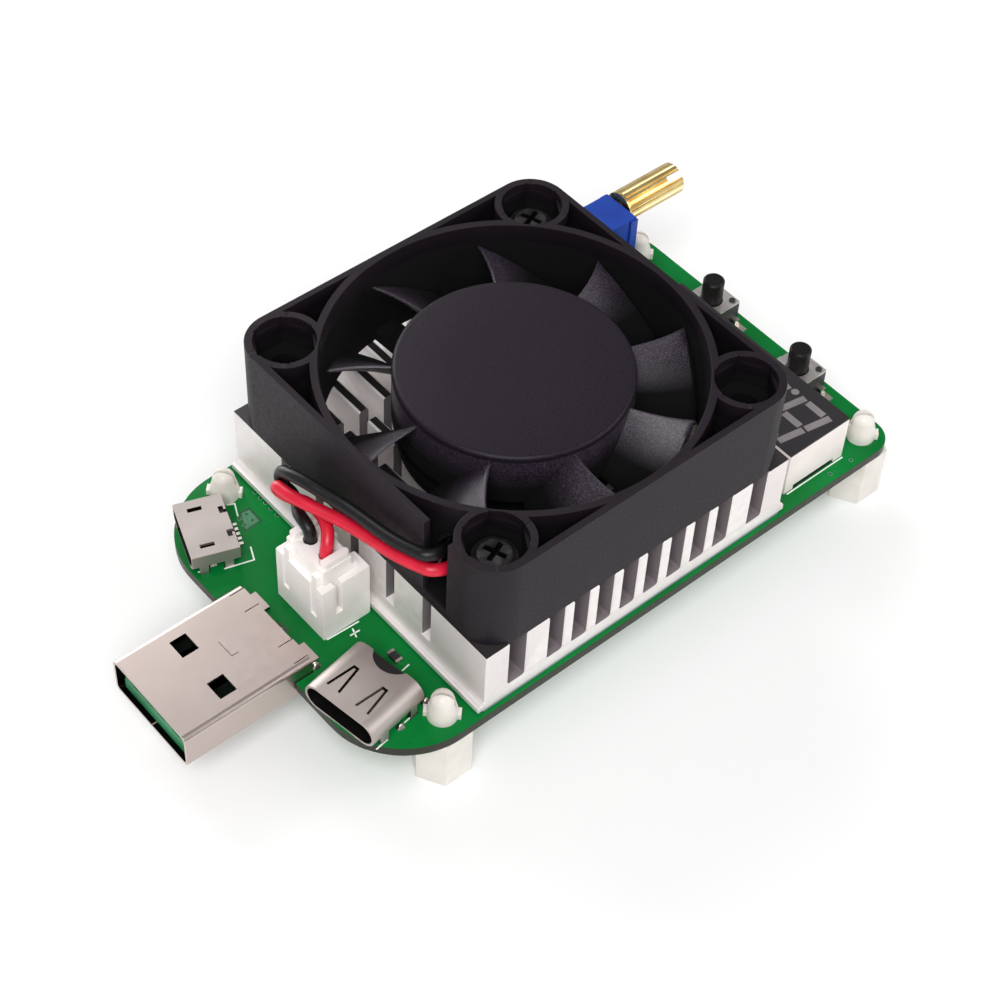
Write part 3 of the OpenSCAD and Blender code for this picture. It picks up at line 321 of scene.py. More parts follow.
def makeFinish(name, light, dark, fine=4000.0, coarse=200.0, stretch=(1, 1, 1), rough=(0.35, 0.5), bump=0.004,
               strength=0.3, metallic=0.0, coat=0.0, coatRough=0.12, wear=None, wearRange=(0.52, 0.62),
               soft=0.0, softRadius=(1.0, 0.8, 0.6), softScale=0.6, specular=0.5):
    # two tones by mottle, roughness and bump by grain, and a third tone on worn edges; bump in millimetres
    material = bpy.data.materials.new(name)
    material.use_nodes = True
    tree = material.node_tree
    link = tree.links.new
    shader = tree.nodes["Principled BSDF"]
    grain = useGroup(tree, grainGroup, Fine=fine, Coarse=coarse, Stretch=stretch)
    tone = mapValue(tree, grain.outputs["Mottle"], *noiseRange, 0.0, 1.0)
    colour = mixColours(tree, tone, light, dark)
    if wear:
        edge = useGroup(tree, wearGroup, Low=wearRange[0], High=wearRange[1])
        colour = mixColours(tree, edge.outputs["Mask"], colour, wear)
    link(colour, shader.inputs["Base Color"])
    link(mapValue(tree, grain.outputs["Grain"], *noiseRange, *rough), shader.inputs["Roughness"])
    relief = addNode(tree, "ShaderNodeBump", Strength=strength, Distance=bump * mm)
    link(grain.outputs["Grain"], relief.inputs["Height"])
    link(relief.outputs[0], shader.inputs["Normal"])
    shader.inputs["Metallic"].default_value = metallic
    shader.inputs["Coat Weight"].default_value = coat
    shader.inputs["Coat Roughness"].default_value = coatRough
    shader.inputs["Specular IOR Level"].default_value = specular
    if soft:
        shader.inputs["Subsurface Weight"].default_value = soft
        shader.inputs["Subsurface Radius"].default_value = softRadius
        shader.inputs["Subsurface Scale"].default_value = softScale * mm
    return material


finishes = {
    "nylon": dict(light=srgb(230, 226, 220), dark=srgb(218, 213, 205), fine=2500, coarse=350,
                  rough=(0.32, 0.5), bump=0.01, strength=0.25, soft=0.35),
    "sinkMetal": dict(light=srgb(240, 233, 232), dark=srgb(226, 219, 218), fine=2600, coarse=90,
                      stretch=(1, 0.06, 1), rough=(0.42, 0.6), bump=0.004, strength=0.3, metallic=0.45,
                      wear=srgb(250, 248, 246)),
    "padRubber": dict(light=srgb(150, 156, 168), dark=srgb(130, 136, 150), rough=(0.6, 0.8)),
    "epoxy": dict(light=srgb(34, 34, 36), dark=srgb(24, 24, 27), fine=5200, rough=(0.45, 0.65), bump=0.01,
                  strength=0.5),
    "tin": dict(light=srgb(222, 216, 206), dark=srgb(190, 184, 176), fine=2500, coarse=700,
                rough=(0.2, 0.42), bump=0.008, metallic=1.0),
    "solder": dict(light=srgb(226, 222, 216), dark=srgb(178, 172, 166), fine=1600, coarse=900,
                   rough=(0.12, 0.34), bump=0.03, strength=0.5, metallic=1.0),
    "fanPlastic": dict(light=srgb(29, 22, 29), dark=srgb(23, 17, 23), fine=3600, coarse=120,
                       rough=(0.42, 0.58), bump=0.006, strength=0.35, wear=srgb(50, 42, 51),
                       wearRange=(0.53, 0.7), specular=0.2),
    "rotorPlastic": dict(light=srgb(37, 29, 39), dark=srgb(19, 13, 21), fine=5200, coarse=6500,
                         rough=(0.3, 0.6), bump=0.028, strength=0.65, wear=srgb(52, 47, 53),
                         wearRange=(0.54, 0.7), specular=0.2, coatRough=0.45),
    "steel": dict(light=srgb(188, 188, 190), dark=srgb(164, 164, 168), rough=(0.25, 0.4), metallic=1.0),
    "ferrite": dict(light=srgb(62, 58, 58), dark=srgb(48, 45, 46), rough=(0.5, 0.7)),
    "bronze": dict(light=srgb(186, 148, 92), dark=srgb(160, 124, 74), rough=(0.3, 0.5), metallic=1.0),
    "copper": dict(light=srgb(190, 104, 56), dark=srgb(160, 80, 40), fine=3000, stretch=(1, 1, 5),
                   rough=(0.2, 0.35), metallic=1.0, bump=0.02),
    "motorMask": dict(light=srgb(60, 116, 72), dark=srgb(44, 96, 58), rough=(0.3, 0.45)),
    "blackSteel": dict(light=srgb(36, 34, 36), dark=srgb(22, 21, 23), fine=3500, rough=(0.25, 0.45),
                       bump=0.008, metallic=0.7, wear=srgb(120, 116, 116)),
    "redSleeve": dict(light=srgb(222, 30, 60), dark=srgb(206, 20, 48), fine=2200, coarse=500,
                      rough=(0.3, 0.46), bump=0.012, strength=0.3, specular=0.5),
    "blackSleeve": dict(light=srgb(20, 19, 22), dark=srgb(14, 13, 15), fine=2200, coarse=500,
                        rough=(0.34, 0.5), bump=0.012, strength=0.3, specular=0.35),
    "whiteNylon": dict(light=srgb(254, 249, 246), dark=srgb(247, 240, 237), fine=2600, coarse=300,
                       rough=(0.26, 0.42), bump=0.006, strength=0.25, soft=0.25),
    "nickel": dict(light=srgb(210, 196, 190), dark=srgb(198, 184, 178), fine=1400, coarse=60,
                   rough=(0.28, 0.34), bump=0.0005, strength=0.04, metallic=1.0),
    "dullNickel": dict(light=srgb(190, 180, 176), dark=srgb(176, 167, 163), fine=3000, coarse=200,
                       rough=(0.42, 0.5), bump=0.001, strength=0.06, metallic=0.75),
    "greenInsert": dict(light=srgb(58, 146, 98), dark=srgb(44, 124, 80), fine=3000, rough=(0.3, 0.45),
                        bump=0.006),
    "gold": dict(light=srgb(224, 188, 110), dark=srgb(206, 168, 92), rough=(0.18, 0.32), metallic=1.0),
    "blackInsert": dict(light=srgb(28, 26, 28), dark=srgb(20, 19, 21), rough=(0.4, 0.55)),
    "caseWhite": dict(light=srgb(243, 234, 231), dark=srgb(235, 226, 223), fine=3000, coarse=300,
                      rough=(0.36, 0.52), bump=0.006, strength=0.3, soft=0.15),
    "faceInk": dict(light=srgb(36, 33, 36), dark=srgb(29, 27, 30), fine=4200, coarse=300, rough=(0.36, 0.5),
                    bump=0.006, strength=0.3),
    "segment": dict(light=srgb(132, 126, 128), dark=srgb(116, 111, 113), fine=3600, coarse=700,
                    rough=(0.35, 0.5), bump=0.004),
    "switchBase": dict(light=srgb(44, 40, 43), dark=srgb(34, 31, 34), fine=4000, rough=(0.4, 0.55),
                       bump=0.008),
    "plate": dict(light=srgb(218, 213, 211), dark=srgb(196, 191, 189), fine=2600, coarse=500,
                  stretch=(1, 0.08, 1), rough=(0.3, 0.46), metallic=0.85),
    "stem": dict(light=srgb(17, 15, 16), dark=srgb(12, 10, 11), fine=3600, rough=(0.4, 0.55), bump=0.006,
                 specular=0.2),
    "blueCase": dict(light=srgb(24, 72, 176), dark=srgb(16, 56, 150), fine=3000, coarse=250,
                     rough=(0.28, 0.42), bump=0.005, strength=0.3, coat=0.05, specular=0.4),
    "brass": dict(light=srgb(226, 198, 132), dark=srgb(198, 166, 98), fine=2400, coarse=400,
                  stretch=(0.1, 1, 1), rough=(0.2, 0.36), bump=0.006, metallic=1.0,
                  wear=srgb(246, 228, 176)),
    "padDark": dict(light=srgb(18, 74, 40), dark=srgb(12, 58, 30), fine=2400, rough=(0.25, 0.4),
                    bump=0.006),
    "padPale": dict(light=srgb(74, 138, 96), dark=srgb(54, 116, 76), fine=2400, coarse=900,
                    rough=(0.25, 0.4), bump=0.006),
    "silkInk": dict(light=srgb(238, 244, 236), dark=srgb(220, 230, 218), fine=5000, rough=(0.5, 0.7),
                    bump=0.006),
}
finish = {name: makeFinish(name, **values) for name, values in finishes.items()}


# edge and core are the laminate's layers on the cut edge, made dark partly as painted shade along that edge
solderMask = {"light": srgb(2, 122, 52), "dark": srgb(0, 97, 38), "edge": srgb(34, 40, 31),
              "core": srgb(47, 48, 36), "layers": 1500.0, "waver": 1.5, "facing": (0.4, 0.6)}


def makeBoardFinish(m):
    # green mask on the faces, layered laminate on the cut edge with its dark tone partly painted shade, told
    # apart by how far it faces up or down
    material = makeFinish("solderMask", m["light"], m["dark"], fine=1700, coarse=110, rough=(0.26, 0.42),
                          bump=0.008, specular=0.16)
    tree = material.node_tree
    shader = tree.nodes["Principled BSDF"]
    mask = shader.inputs["Base Color"].links[0].from_socket
    shape = addNode(tree, "ShaderNodeNewGeometry")
    split = addNode(tree, "ShaderNodeSeparateXYZ")
    size = addNode(tree, "ShaderNodeMath", {"operation": "ABSOLUTE"})
    place = addNode(tree, "ShaderNodeTexCoord")
    layers = addNode(tree, "ShaderNodeTexWave", {"bands_direction": "Z"}, Scale=m["layers"],
                     Distortion=m["waver"], Detail=2.0)
    tree.links.new(shape.outputs["True Normal"], split.inputs[0])
    tree.links.new(split.outputs["Z"], size.inputs[0])
    tree.links.new(place.outputs["Object"], layers.inputs["Vector"])
    rim = mixColours(tree, layers.outputs["Fac"], m["edge"], m["core"])
    flat = mapValue(tree, size.outputs[0], *m["facing"], 0.0, 1.0)
    tree.links.new(mixColours(tree, flat, rim, mask), shader.inputs["Base Color"])
    return material


finish["solderMask"] = makeBoardFinish(solderMask)


def ramp(tree, source, places, before=0.0, after=1.0):
    # one value before the first place and another after the second, in millimetres
    return mapValue(tree, source, places[0] * mm, places[1] * mm, before, after)


def heightRamp(tree, source, heights, before=0.0, after=1.0):
    # the same for heights above the fan's underside
    return ramp(tree, source, [fanFloor + h for h in heights], before, after)


def innerMask(tree, half, radius, skin):
    # inside a rounded square about the fan's axis, at any height
    return useGroup(tree, innerGroup, Middle=(fanAxis[0] * mm, fanAxis[1] * mm, 0),
                    Half=(half * mm, half * mm, 1), Radius=radius * mm, Skin=skin * mm).outputs["Mask"]


# the three colours are painted shade: on the sawn fin ends inside, in the slots' mouths and on the fin tops
# under the fan
sinkShade = {"half": 19.8, "radius": 0.2, "skin": 0.06, "endFacing": (-0.7, -0.8), "mouth": (-16, -14),
             "topFacing": (0.7, 0.9), "topHeights": (-0.2, -0.1), "cut": srgb(118, 112, 114),
             "shadow": srgb(126, 117, 120), "top": srgb(40, 36, 38)}


def shadeSink(s):
    # painted shade: the slots' first millimetres and the fin tops under the fan are darkened, and the sawn
    # fin ends inside get a grey painted shade
    metal = finish["sinkMetal"]
    tree = metal.node_tree
    axes = useGroup(tree, axesGroup).outputs
    inner = innerMask(tree, s["half"], s["radius"], s["skin"])
    ends = mapValue(tree, axes["Ny"], *s["endFacing"], 0.0, 1.0)
    tops = mapValue(tree, axes["Nz"], *s["topFacing"], 0.0, 1.0)
    tint(metal, timesOf(tree, inner, ends), s["cut"])
    tint(metal, timesOf(tree, inner, ramp(tree, axes["Y"], s["mouth"], 1.0, 0.0)), s["shadow"])
    tint(metal, timesOf(tree, tops, heightRamp(tree, axes["Z"], s["topHeights"])), s["top"])
    shine = mapValue(tree, inner, 0.0, 1.0, finishes["sinkMetal"]["metallic"], 0.0)
    tree.links.new(shine, tree.nodes["Principled BSDF"].inputs["Metallic"])


# depth ramps and a dark colour of painted shade for frame, blades and lead, and a light colour of painted
# glints on the blades
fanShade = {"half": 16, "radius": 4, "skin": 0.3, "leadSkin": 1.6, "frameFade": (10.6, 8), "frameShade": 0.9,
            "bladeFade": (8.4, 5.8), "bladeShade": 0.95, "hubTop": (9.3, 9.5), "sheen": 0.6,
            "sheenFade": (8.2, 5.8), "glintScale": 7000.0, "glintRange": (0.46, 0.66), "glintPower": 1.4,
            "deepShade": srgb(9, 8, 9), "paintedGlint": srgb(80, 69, 85)}


def shadeFan(s):
    # painted shade: frame and blades are darkened and dulled with depth in bore and pockets; the blades' tops
    # have a coat sheen with painted glints
    shell, wheel, sleeve = finish["fanPlastic"], finish["rotorPlastic"], finish["redSleeve"]
    tree = shell.node_tree
    height = useGroup(tree, axesGroup).outputs["Z"]
    depth = timesOf(tree, innerMask(tree, s["half"], s["radius"], s["skin"]),
                    heightRamp(tree, height, s["frameFade"], 0.0, s["frameShade"]))
    tint(shell, depth, s["deepShade"])
    dull(shell, depth)
    tree = wheel.node_tree
    height = useGroup(tree, axesGroup).outputs["Z"]
    depth = heightRamp(tree, height, s["bladeFade"], 0.0, s["bladeShade"])
    tint(wheel, depth, s["deepShade"])
    dull(wheel, depth)
    sheen = timesOf(tree, heightRamp(tree, height, s["hubTop"], s["sheen"], 0.0),
                    heightRamp(tree, height, s["sheenFade"], 1.0, 0.0))
    tree.links.new(sheen, tree.nodes["Principled BSDF"].inputs["Coat Weight"])
    # painted glints: lighter flecks where the coat's sheen lies
    glintNoise = useGroup(tree, grainGroup, Coarse=s["glintScale"]).outputs["Mottle"]
    glints = mapValue(tree, glintNoise, *s["glintRange"], 0.0, s["glintPower"])
    tint(wheel, timesOf(tree, sheen, glints), s["paintedGlint"])
    # painted shade on the red lead where it runs inside the fan
    tint(sleeve, innerMask(sleeve.node_tree, s["half"], s["radius"], s["leadSkin"]), s["deepShade"])


# a dark colour of painted shade inside the shells, and ramps and colours of painted shade on the plug's
# insert and contact blades
shellShade = {"dark": srgb(30, 27, 27), "insertFade": (-40.6, -39.6), "insertShade": srgb(14, 22, 17),
              "bladeFade": (-40.6, -40.2), "bladeEnd": (-31, -30.6), "bladeShade": srgb(26, 20, 10),
              "shells": [  # name, the finish that it copies, a point inside the shell
                  ("plugNickel", "nickel", (-35, 0, 7.35)),
                  ("wideNickel", "dullNickel", (-25.6, -12.07, 9.3)),
                  ("narrowNickel", "dullNickel", (-25.78, 13.55, 9.0))]}


def shadeShells(s):
    # painted shade: the insides of the three metal shells are darkened, and so are the insert and contact
    # blades behind the mouth of the supply plug
    for name, base, middle in s["shells"]:
        finish[name] = makeFinish(name, **finishes[base])
        facing = useGroup(finish[name].node_tree, facingGroup, Middle=tuple(v * mm for v in middle))
        tint(finish[name], facing.outputs["Mask"], s["dark"])
    tree = finish["greenInsert"].node_tree
    along = useGroup(tree, axesGroup).outputs["X"]
    tint(finish["greenInsert"], ramp(tree, along, s["insertFade"]), s["insertShade"])
    tree = finish["gold"].node_tree
    along = useGroup(tree, axesGroup).outputs["X"]
    inside = timesOf(tree, ramp(tree, along, s["bladeFade"]), ramp(tree, along, s["bladeEnd"], 1.0, 0.0))
    tint(finish["gold"], inside, s["bladeShade"])


shadeSink(sinkShade)
shadeFan(fanShade)
shadeShells(shellShade)
print("finishes:", len(finish))


# pieces that keep the solid's shape, with softened edges

def joinFlats(mesh, merge=1e-6, bend=0.6):
    # loose triangles to a joined mesh, with the triangles of flat faces drawn anew
    work = bmesh.new()
    work.from_mesh(mesh)
    bmesh.ops.remove_doubles(work, verts=work.verts, dist=merge)
    bmesh.ops.dissolve_limit(work, angle_limit=math.radians(bend), verts=work.verts, edges=work.edges)
    bmesh.ops.triangulate(work, faces=work.faces)
    work.to_mesh(mesh)
    work.free()


def shade(mesh, angle):
    mesh.polygons.foreach_set("use_smooth", np.ones(len(mesh.polygons), bool))
    mesh.set_sharp_from_angle(angle=math.radians(angle))


def placePiece(piece, body, slot, *stoodFor):
    scene.collection.objects.link(piece)
    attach(piece, body)
    if stoodFor:
        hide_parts(*stoodFor)


def weighEdges(mesh, apart=60):
    # bevel weight one on sharp edges, but none where two of them leave a point within a narrow angle
    count = len(mesh.edges)
    sharp, ends, place = np.zeros(count, bool), np.empty(2 * count, int), np.empty(3 * len(mesh.vertices))
    mesh.attributes["sharp_edge"].data.foreach_get("value", sharp)
    mesh.edges.foreach_get("vertices", ends)
    mesh.vertices.foreach_get("co", place)
    ends, place = ends.reshape(-1, 2), place.reshape(-1, 3)
    leaving = {}
    for e in np.flatnonzero(sharp):
        step = place[ends[e, 1]] - place[ends[e, 0]]
        step /= np.linalg.norm(step)
        leaving.setdefault(ends[e, 0], []).append((e, step))
        leaving.setdefault(ends[e, 1], []).append((e, -step))
    keep = sharp.copy()
    for found in leaving.values():
        for k, (e, step) in enumerate(found):
            for other, direction in found[:k]:
                if step @ direction > math.cos(math.radians(apart)):
                    keep[[e, other]] = False
    weights = mesh.attributes.new("bevel_weight_edge", "FLOAT", "EDGE")
    weights.data.foreach_set("value", keep.astype(np.float32))


def faceSizes(mesh):
    size = np.empty(len(mesh.polygons), int)
    mesh.polygons.foreach_get("loop_total", size)
    return size


def facesAtEdges(mesh):
    # for each edge shared by two faces, the numbers of both
    edge, face = np.empty(len(mesh.loops), int), np.repeat(np.arange(len(mesh.polygons)), faceSizes(mesh))
    mesh.loops.foreach_get("edge_index", edge)
    order = np.argsort(edge, kind="stable")
    edge, face = edge[order], face[order]
    same = np.flatnonzero(edge[1:] == edge[:-1])
    return face[same], face[same + 1]


def labelFlats(mesh, normal, limit=0.5):
    # faces joined across edges with almost no bend get one number
    chief = list(range(len(normal)))

    def find(k):
        while chief[k] != k:
            chief[k] = chief[chief[k]]
            k = chief[k]
        return k

    a, b = facesAtEdges(mesh)
    level = (normal[a] * normal[b]).sum(1) > math.cos(math.radians(limit))
    for i, j in zip(a[level].tolist(), b[level].tolist()):
        chief[find(i)] = find(j)
    return np.array([find(k) for k in range(len(normal))])


def aimNormals(mesh, angle):
    # a corner's normal: mean over the faces round its point within the angle, by the area of each one's flat
    count = len(mesh.polygons)
    normal, area, point = np.empty(3 * count), np.empty(count), np.empty(len(mesh.loops), int)
    mesh.polygons.foreach_get("normal", normal)
    mesh.polygons.foreach_get("area", area)
    mesh.loops.foreach_get("vertex_index", point)
    normal = normal.reshape(-1, 3)
    flat = labelFlats(mesh, normal)
    weight = np.bincount(flat, area, count)[flat] + 1e-15  # never quite zero, for faces without area
    face = np.repeat(np.arange(count), faceSizes(mesh))
    order = np.argsort(point, kind="stable")
    start = np.searchsorted(point[order], np.arange(len(mesh.vertices) + 1))
    ways = np.diff(start)[point]
    here = np.repeat(np.arange(len(point)), ways)
    step = np.arange(len(here)) - np.repeat(np.cumsum(ways) - ways, ways)
    there = order[np.repeat(start[point], ways) + step]
    near = (normal[face[here]] * normal[face[there]]).sum(1) > math.cos(math.radians(angle))
    share = weight[face[there]] * near
    mean = np.stack([np.bincount(here, share * normal[face[there], k], len(point)) for k in range(3)], -1)
    mesh.normals_split_custom_set((mean / np.linalg.norm(mean, axis=1, keepdims=True)).tolist())


def softenNode(node, name, look, width, steps=2, angle=38):
    # a merged copy of the node with a small bevel along its sharp edges
    mesh = nodes[node].data.copy()
    mesh.name = name
    joinFlats(mesh)
    mesh.materials.clear()
    mesh.materials.append(finish[look])
    shade(mesh, angle)
    weighEdges(mesh)
    piece = bpy.data.objects.new(name, mesh)
    bevel = piece.modifiers.new("edge", "BEVEL")
    bevel.width, bevel.segments, bevel.limit_method = width * mm, steps, "WEIGHT"
    bevel.use_clamp_overlap, bevel.loop_slide = False, False
    scene.collection.objects.link(piece)
    graph = bpy.context.evaluated_depsgraph_get()
    made = bpy.data.meshes.new_from_object(piece.evaluated_get(graph), depsgraph=graph)
    made.name = name
    scene.collection.objects.unlink(piece)
    bpy.data.objects.remove(piece)
    shade(made, angle)
    aimNormals(made, angle)
    placePiece(bpy.data.objects.new(name, made), bodyOf[node], slotOf[node], node)


softened = {  # node: piece name, finish, bevel width in millimetres
    "board": ("boardPanel", "solderMask", 0.06), "posts": ("hexPosts", "nylon", 0.12),
    "heatsink": ("finnedSink", "sinkMetal", 0.10), "fan_frame": ("fanFrame", "fanPlastic", 0.10),
    "header": ("whiteHeader", "whiteNylon", 0.10), "plug_housing": ("whiteHousing", "whiteNylon", 0.10),
    "plug_shell": ("plugShell", "plugNickel", 0.03), "socket_c_shell": ("wideShell", "wideNickel", 0.05),
    "socket_m_shell": ("narrowShell", "narrowNickel", 0.05),
    "display_case": ("displayCase", "caseWhite", 0.10),
    "switch_bases": ("switchBases", "switchBase", 0.06), "switch_covers": ("switchPlates", "plate", 0.03),
    "button_a": ("stemA", "stem", 0.12), "button_b": ("stemB", "stem", 0.12),
    "trimmer_body": ("trimmerCase", "blueCase", 0.14), "trimmer_shaft": ("trimmerKnob", "brass", 0.05),
    "fan_screws": ("fanScrews", "blackSteel", 0.06), "switch_legs": ("switchFeet", "tin", 0.04),
    "plug_tongue": ("plugInsert", "greenInsert", 0.08), "transistors": ("powerPackages", "epoxy", 0.10),
    "chips": ("chipPackages", "epoxy", 0.08), "shunt": ("shuntBlock", "epoxy", 0.06),
}
for node, values in softened.items():
    softenNode(node, *values)

plainNodes = {  # node: finish
    "thermal_pad": "padRubber", "transistor_metal": "tin", "chip_legs": "tin", "rotor_yoke": "steel",
    "rotor_magnet": "ferrite", "rotor_shaft": "steel", "shaft_clip": "nylon", "bearing": "bronze",
    "stator_core": "steel", "stator_coils": "copper", "motor_board": "motorMask", "header_pins": "tin",
    "plug_contacts": "tin", "plug_blades": "gold", "socket_c_tongue": "blackInsert",
    "socket_c_contacts": "gold", "socket_m_tongue": "blackInsert", "socket_m_contacts": "tin",
    "display_face": "faceInk", "display_windows": "segment", "display_pins": "tin", "switch_domes": "steel",
    "trimmer_pins": "tin", "resistor": "epoxy", "resistor_ends": "tin",
}
for node, look in plainNodes.items():
    nodes[node].data.materials.clear()
    nodes[node].data.materials.append(finish[look])
print("solids dressed:", len(softened), "softened,", len(plainNodes), "plain")


# surfaces worked out on grids

def gridFaces(rows, columns, roundRows=False, roundColumns=False):
    # quads of a grid of points, wrapped round in either direction
    i = np.arange(rows if roundRows else rows - 1)[:, None]
    j = np.arange(columns if roundColumns else columns - 1)[None, :]
    around = ((0, 0), (0, 1), (1, 1), (1, 0))
    corners = [((i + di) % rows) * columns + (j + dj) % columns for di, dj in around]
    return np.stack(corners, -1).reshape(-1, 4)


def capFaces(middle, first, sides, outwards):
    # triangles from a middle point to a ring that starts at the first number
    j = np.arange(sides)
    ring = (first + (j + 1) % sides, first + j)
    return list(np.stack([np.full(sides, middle), *(ring if outwards else ring[::-1])], -1))


def turnProfile(profile, sides, x=0.0, y=0.0):
    # a closed outline of radius and height turned about an upright axis
    radius, height = np.array(profile, float).T
    a = np.linspace(0, 2 * np.pi, sides, endpoint=False)
    points = np.stack([x + radius[:, None] * np.cos(a), y + radius[:, None] * np.sin(a),
                       np.repeat(height[:, None], sides, 1)], -1)
    return points.reshape(-1, 3), list(gridFaces(len(radius), sides, roundRows=True, roundColumns=True))


def meshFromArrays(name, points, faces, look, smooth=35, merge=1e-4):
    # points in millimetres; doubled points at poles are merged and faces turned outwards
    mesh = bpy.data.meshes.new(name)
    mesh.from_pydata((np.asarray(points, float) * mm).tolist(), [], [list(map(int, f)) for f in faces])
    work = bmesh.new()
    work.from_mesh(mesh)
    bmesh.ops.remove_doubles(work, verts=work.verts, dist=merge * mm)
    bmesh.ops.recalc_face_normals(work, faces=work.faces)
    work.to_mesh(mesh)
    work.free()
    mesh.materials.append(finish[look])
    shade(mesh, smooth)
    return bpy.data.objects.new(name, mesh)


def joinParts(parts):
    # several (points, faces) into one
    shift = np.cumsum([0] + [len(p) for p, _ in parts[:-1]])
    faces = [face + s for (_, ownFaces), s in zip(parts, shift) for face in ownFaces]
    return np.concatenate([p for p, _ in parts]), faces


# impeller: hub cup and twisted blades, in millimetres and degrees, heights from the fan's underside
rotor = {"blades": 9, "hub": 12.1, "top": 10.1, "bottom": 3.6, "rim": 0.5, "wall": 1.0, "roof": 1.0,
         "chamfer": 0.12, "flat": 6.0, "core": 2.3, "sides": 128, "rimSteps": 8,
         "rootIn": 0.5, "tip": 18.4, "topDrop": 0.9, "footRise": 0.1, "firstTurn": -21.5, "tipLead": 3,
         "span": 23, "spread": 3, "bow": 3, "belly": 0.06, "thick": 0.8, "edgeShare": 0.3, "middleShare": 0.2,
         "blunt": 0.35, "tipRound": 0.03, "across": 18, "along": 26}


def bladePoints(u, v, r):
    # middle surface: the radius grows with u, the turn goes back and the height falls with v, each with a bow
    root, high = r["hub"] - r["rootIn"], r["top"] - r["topDrop"]
    radius = root + u * (r["tip"] - root)
    bow = np.sin(np.pi * v)
    turn = r["firstTurn"] + r["tipLead"] * u ** 2 - v * (r["span"] + r["spread"] * u) + r["bow"] * bow
    turn = np.radians(turn)
    height = high - (high - r["bottom"] - r["footRise"]) * (v - r["belly"] * bow)
    return np.stack([radius * np.cos(turn), radius * np.sin(turn), height], -1)


def makeBlade(r, e=0.01):
    # a loop of points round the section, carried from root to tip, its thickness ending on a quarter circle
    u = np.linspace(0, 1, r["across"])[:, None]
    s = np.linspace(0, 2 * np.pi, 2 * r["along"], endpoint=False)[None, :]
    v = 0.5 - 0.5 * np.cos(s) + 0 * u
    u = u + 0 * v
    outwards = bladePoints(u + e, v, r) - bladePoints(u - e, v, r)
    downwards = bladePoints(u, v + e, r) - bladePoints(u, v - e, r)
    normal = np.cross(outwards, downwards)
    normal /= np.linalg.norm(normal, axis=-1, keepdims=True)
    fade = np.sqrt(1 - np.clip((u - 1) / r["tipRound"] + 1, 0, 1) ** 2)
    half = r["thick"] * (r["edgeShare"] + r["middleShare"] * np.sin(np.pi * v)) * fade
    half = half * np.abs(np.sin(s)) ** r["blunt"] * np.sign(np.sin(s))
    points = bladePoints(u, v, r) + half[..., None] * normal
    rows, columns = u.shape
    faces = list(gridFaces(rows, columns, roundColumns=True)) + capFaces(rows * columns, 0, columns, True)
    return np.concatenate([points.reshape(-1, 3), points[:1].mean(1)]), faces


def makeHub(r):
    # profile: wall's foot, outer wall, rounded rim, flat top, then the cup inside
    arc = np.linspace(0, np.pi / 2, r["rimSteps"])
    rim = np.stack([r["hub"] + r["rim"] * (np.cos(arc) - 1), r["top"] + r["rim"] * (np.sin(arc) - 1)], -1)
    inner, ceiling = r["hub"] - r["wall"], r["top"] - r["roof"]
    foot = [[inner, r["bottom"]], [r["hub"] - r["chamfer"], r["bottom"]],
            [r["hub"], r["bottom"] + r["chamfer"]]]
    cup = [[r["flat"], r["top"]], [0.0, r["top"]], [0.0, ceiling], [r["core"], ceiling], [inner, ceiling]]
    return turnProfile(np.concatenate([foot, rim, cup]), r["sides"])


def makeImpeller(r):
    points, faces = makeBlade(r)
    parts = [makeHub(r)]
    for k in range(r["blades"]):
        a = 2 * np.pi * k / r["blades"]
        turn = np.array([[np.cos(a), np.sin(a), 0], [-np.sin(a), np.cos(a), 0], [0, 0, 1]])
        parts.append((points @ turn, faces))
    points, faces = joinParts(parts)
    piece = meshFromArrays("impellerWheel", points + [*fanAxis, fanFloor], faces, "rotorPlastic", smooth=40)
    placePiece(piece, bodyOf["impeller"], slotOf["impeller"], "impeller")


makeImpeller(rotor)
print("impeller made")

# fan leads: round tubes along the solids' routes, with the black one's loop drawn tighter
leads = {"radius": 0.65, "sides": 20, "steps": 8, "strutTurn": 213.0, "houseTop": 16.9, "pitch": 2.5}


def strutPoint(w, r, side, z):
    # a point by its reach along the fan's strut, its place beside it and its height
    turn = math.radians(w["strutTurn"])
    c, s = math.cos(turn), math.sin(turn)
    return [fanAxis[0] + r * c - side * s, fanAxis[1] + r * s + side * c, fanFloor + z]


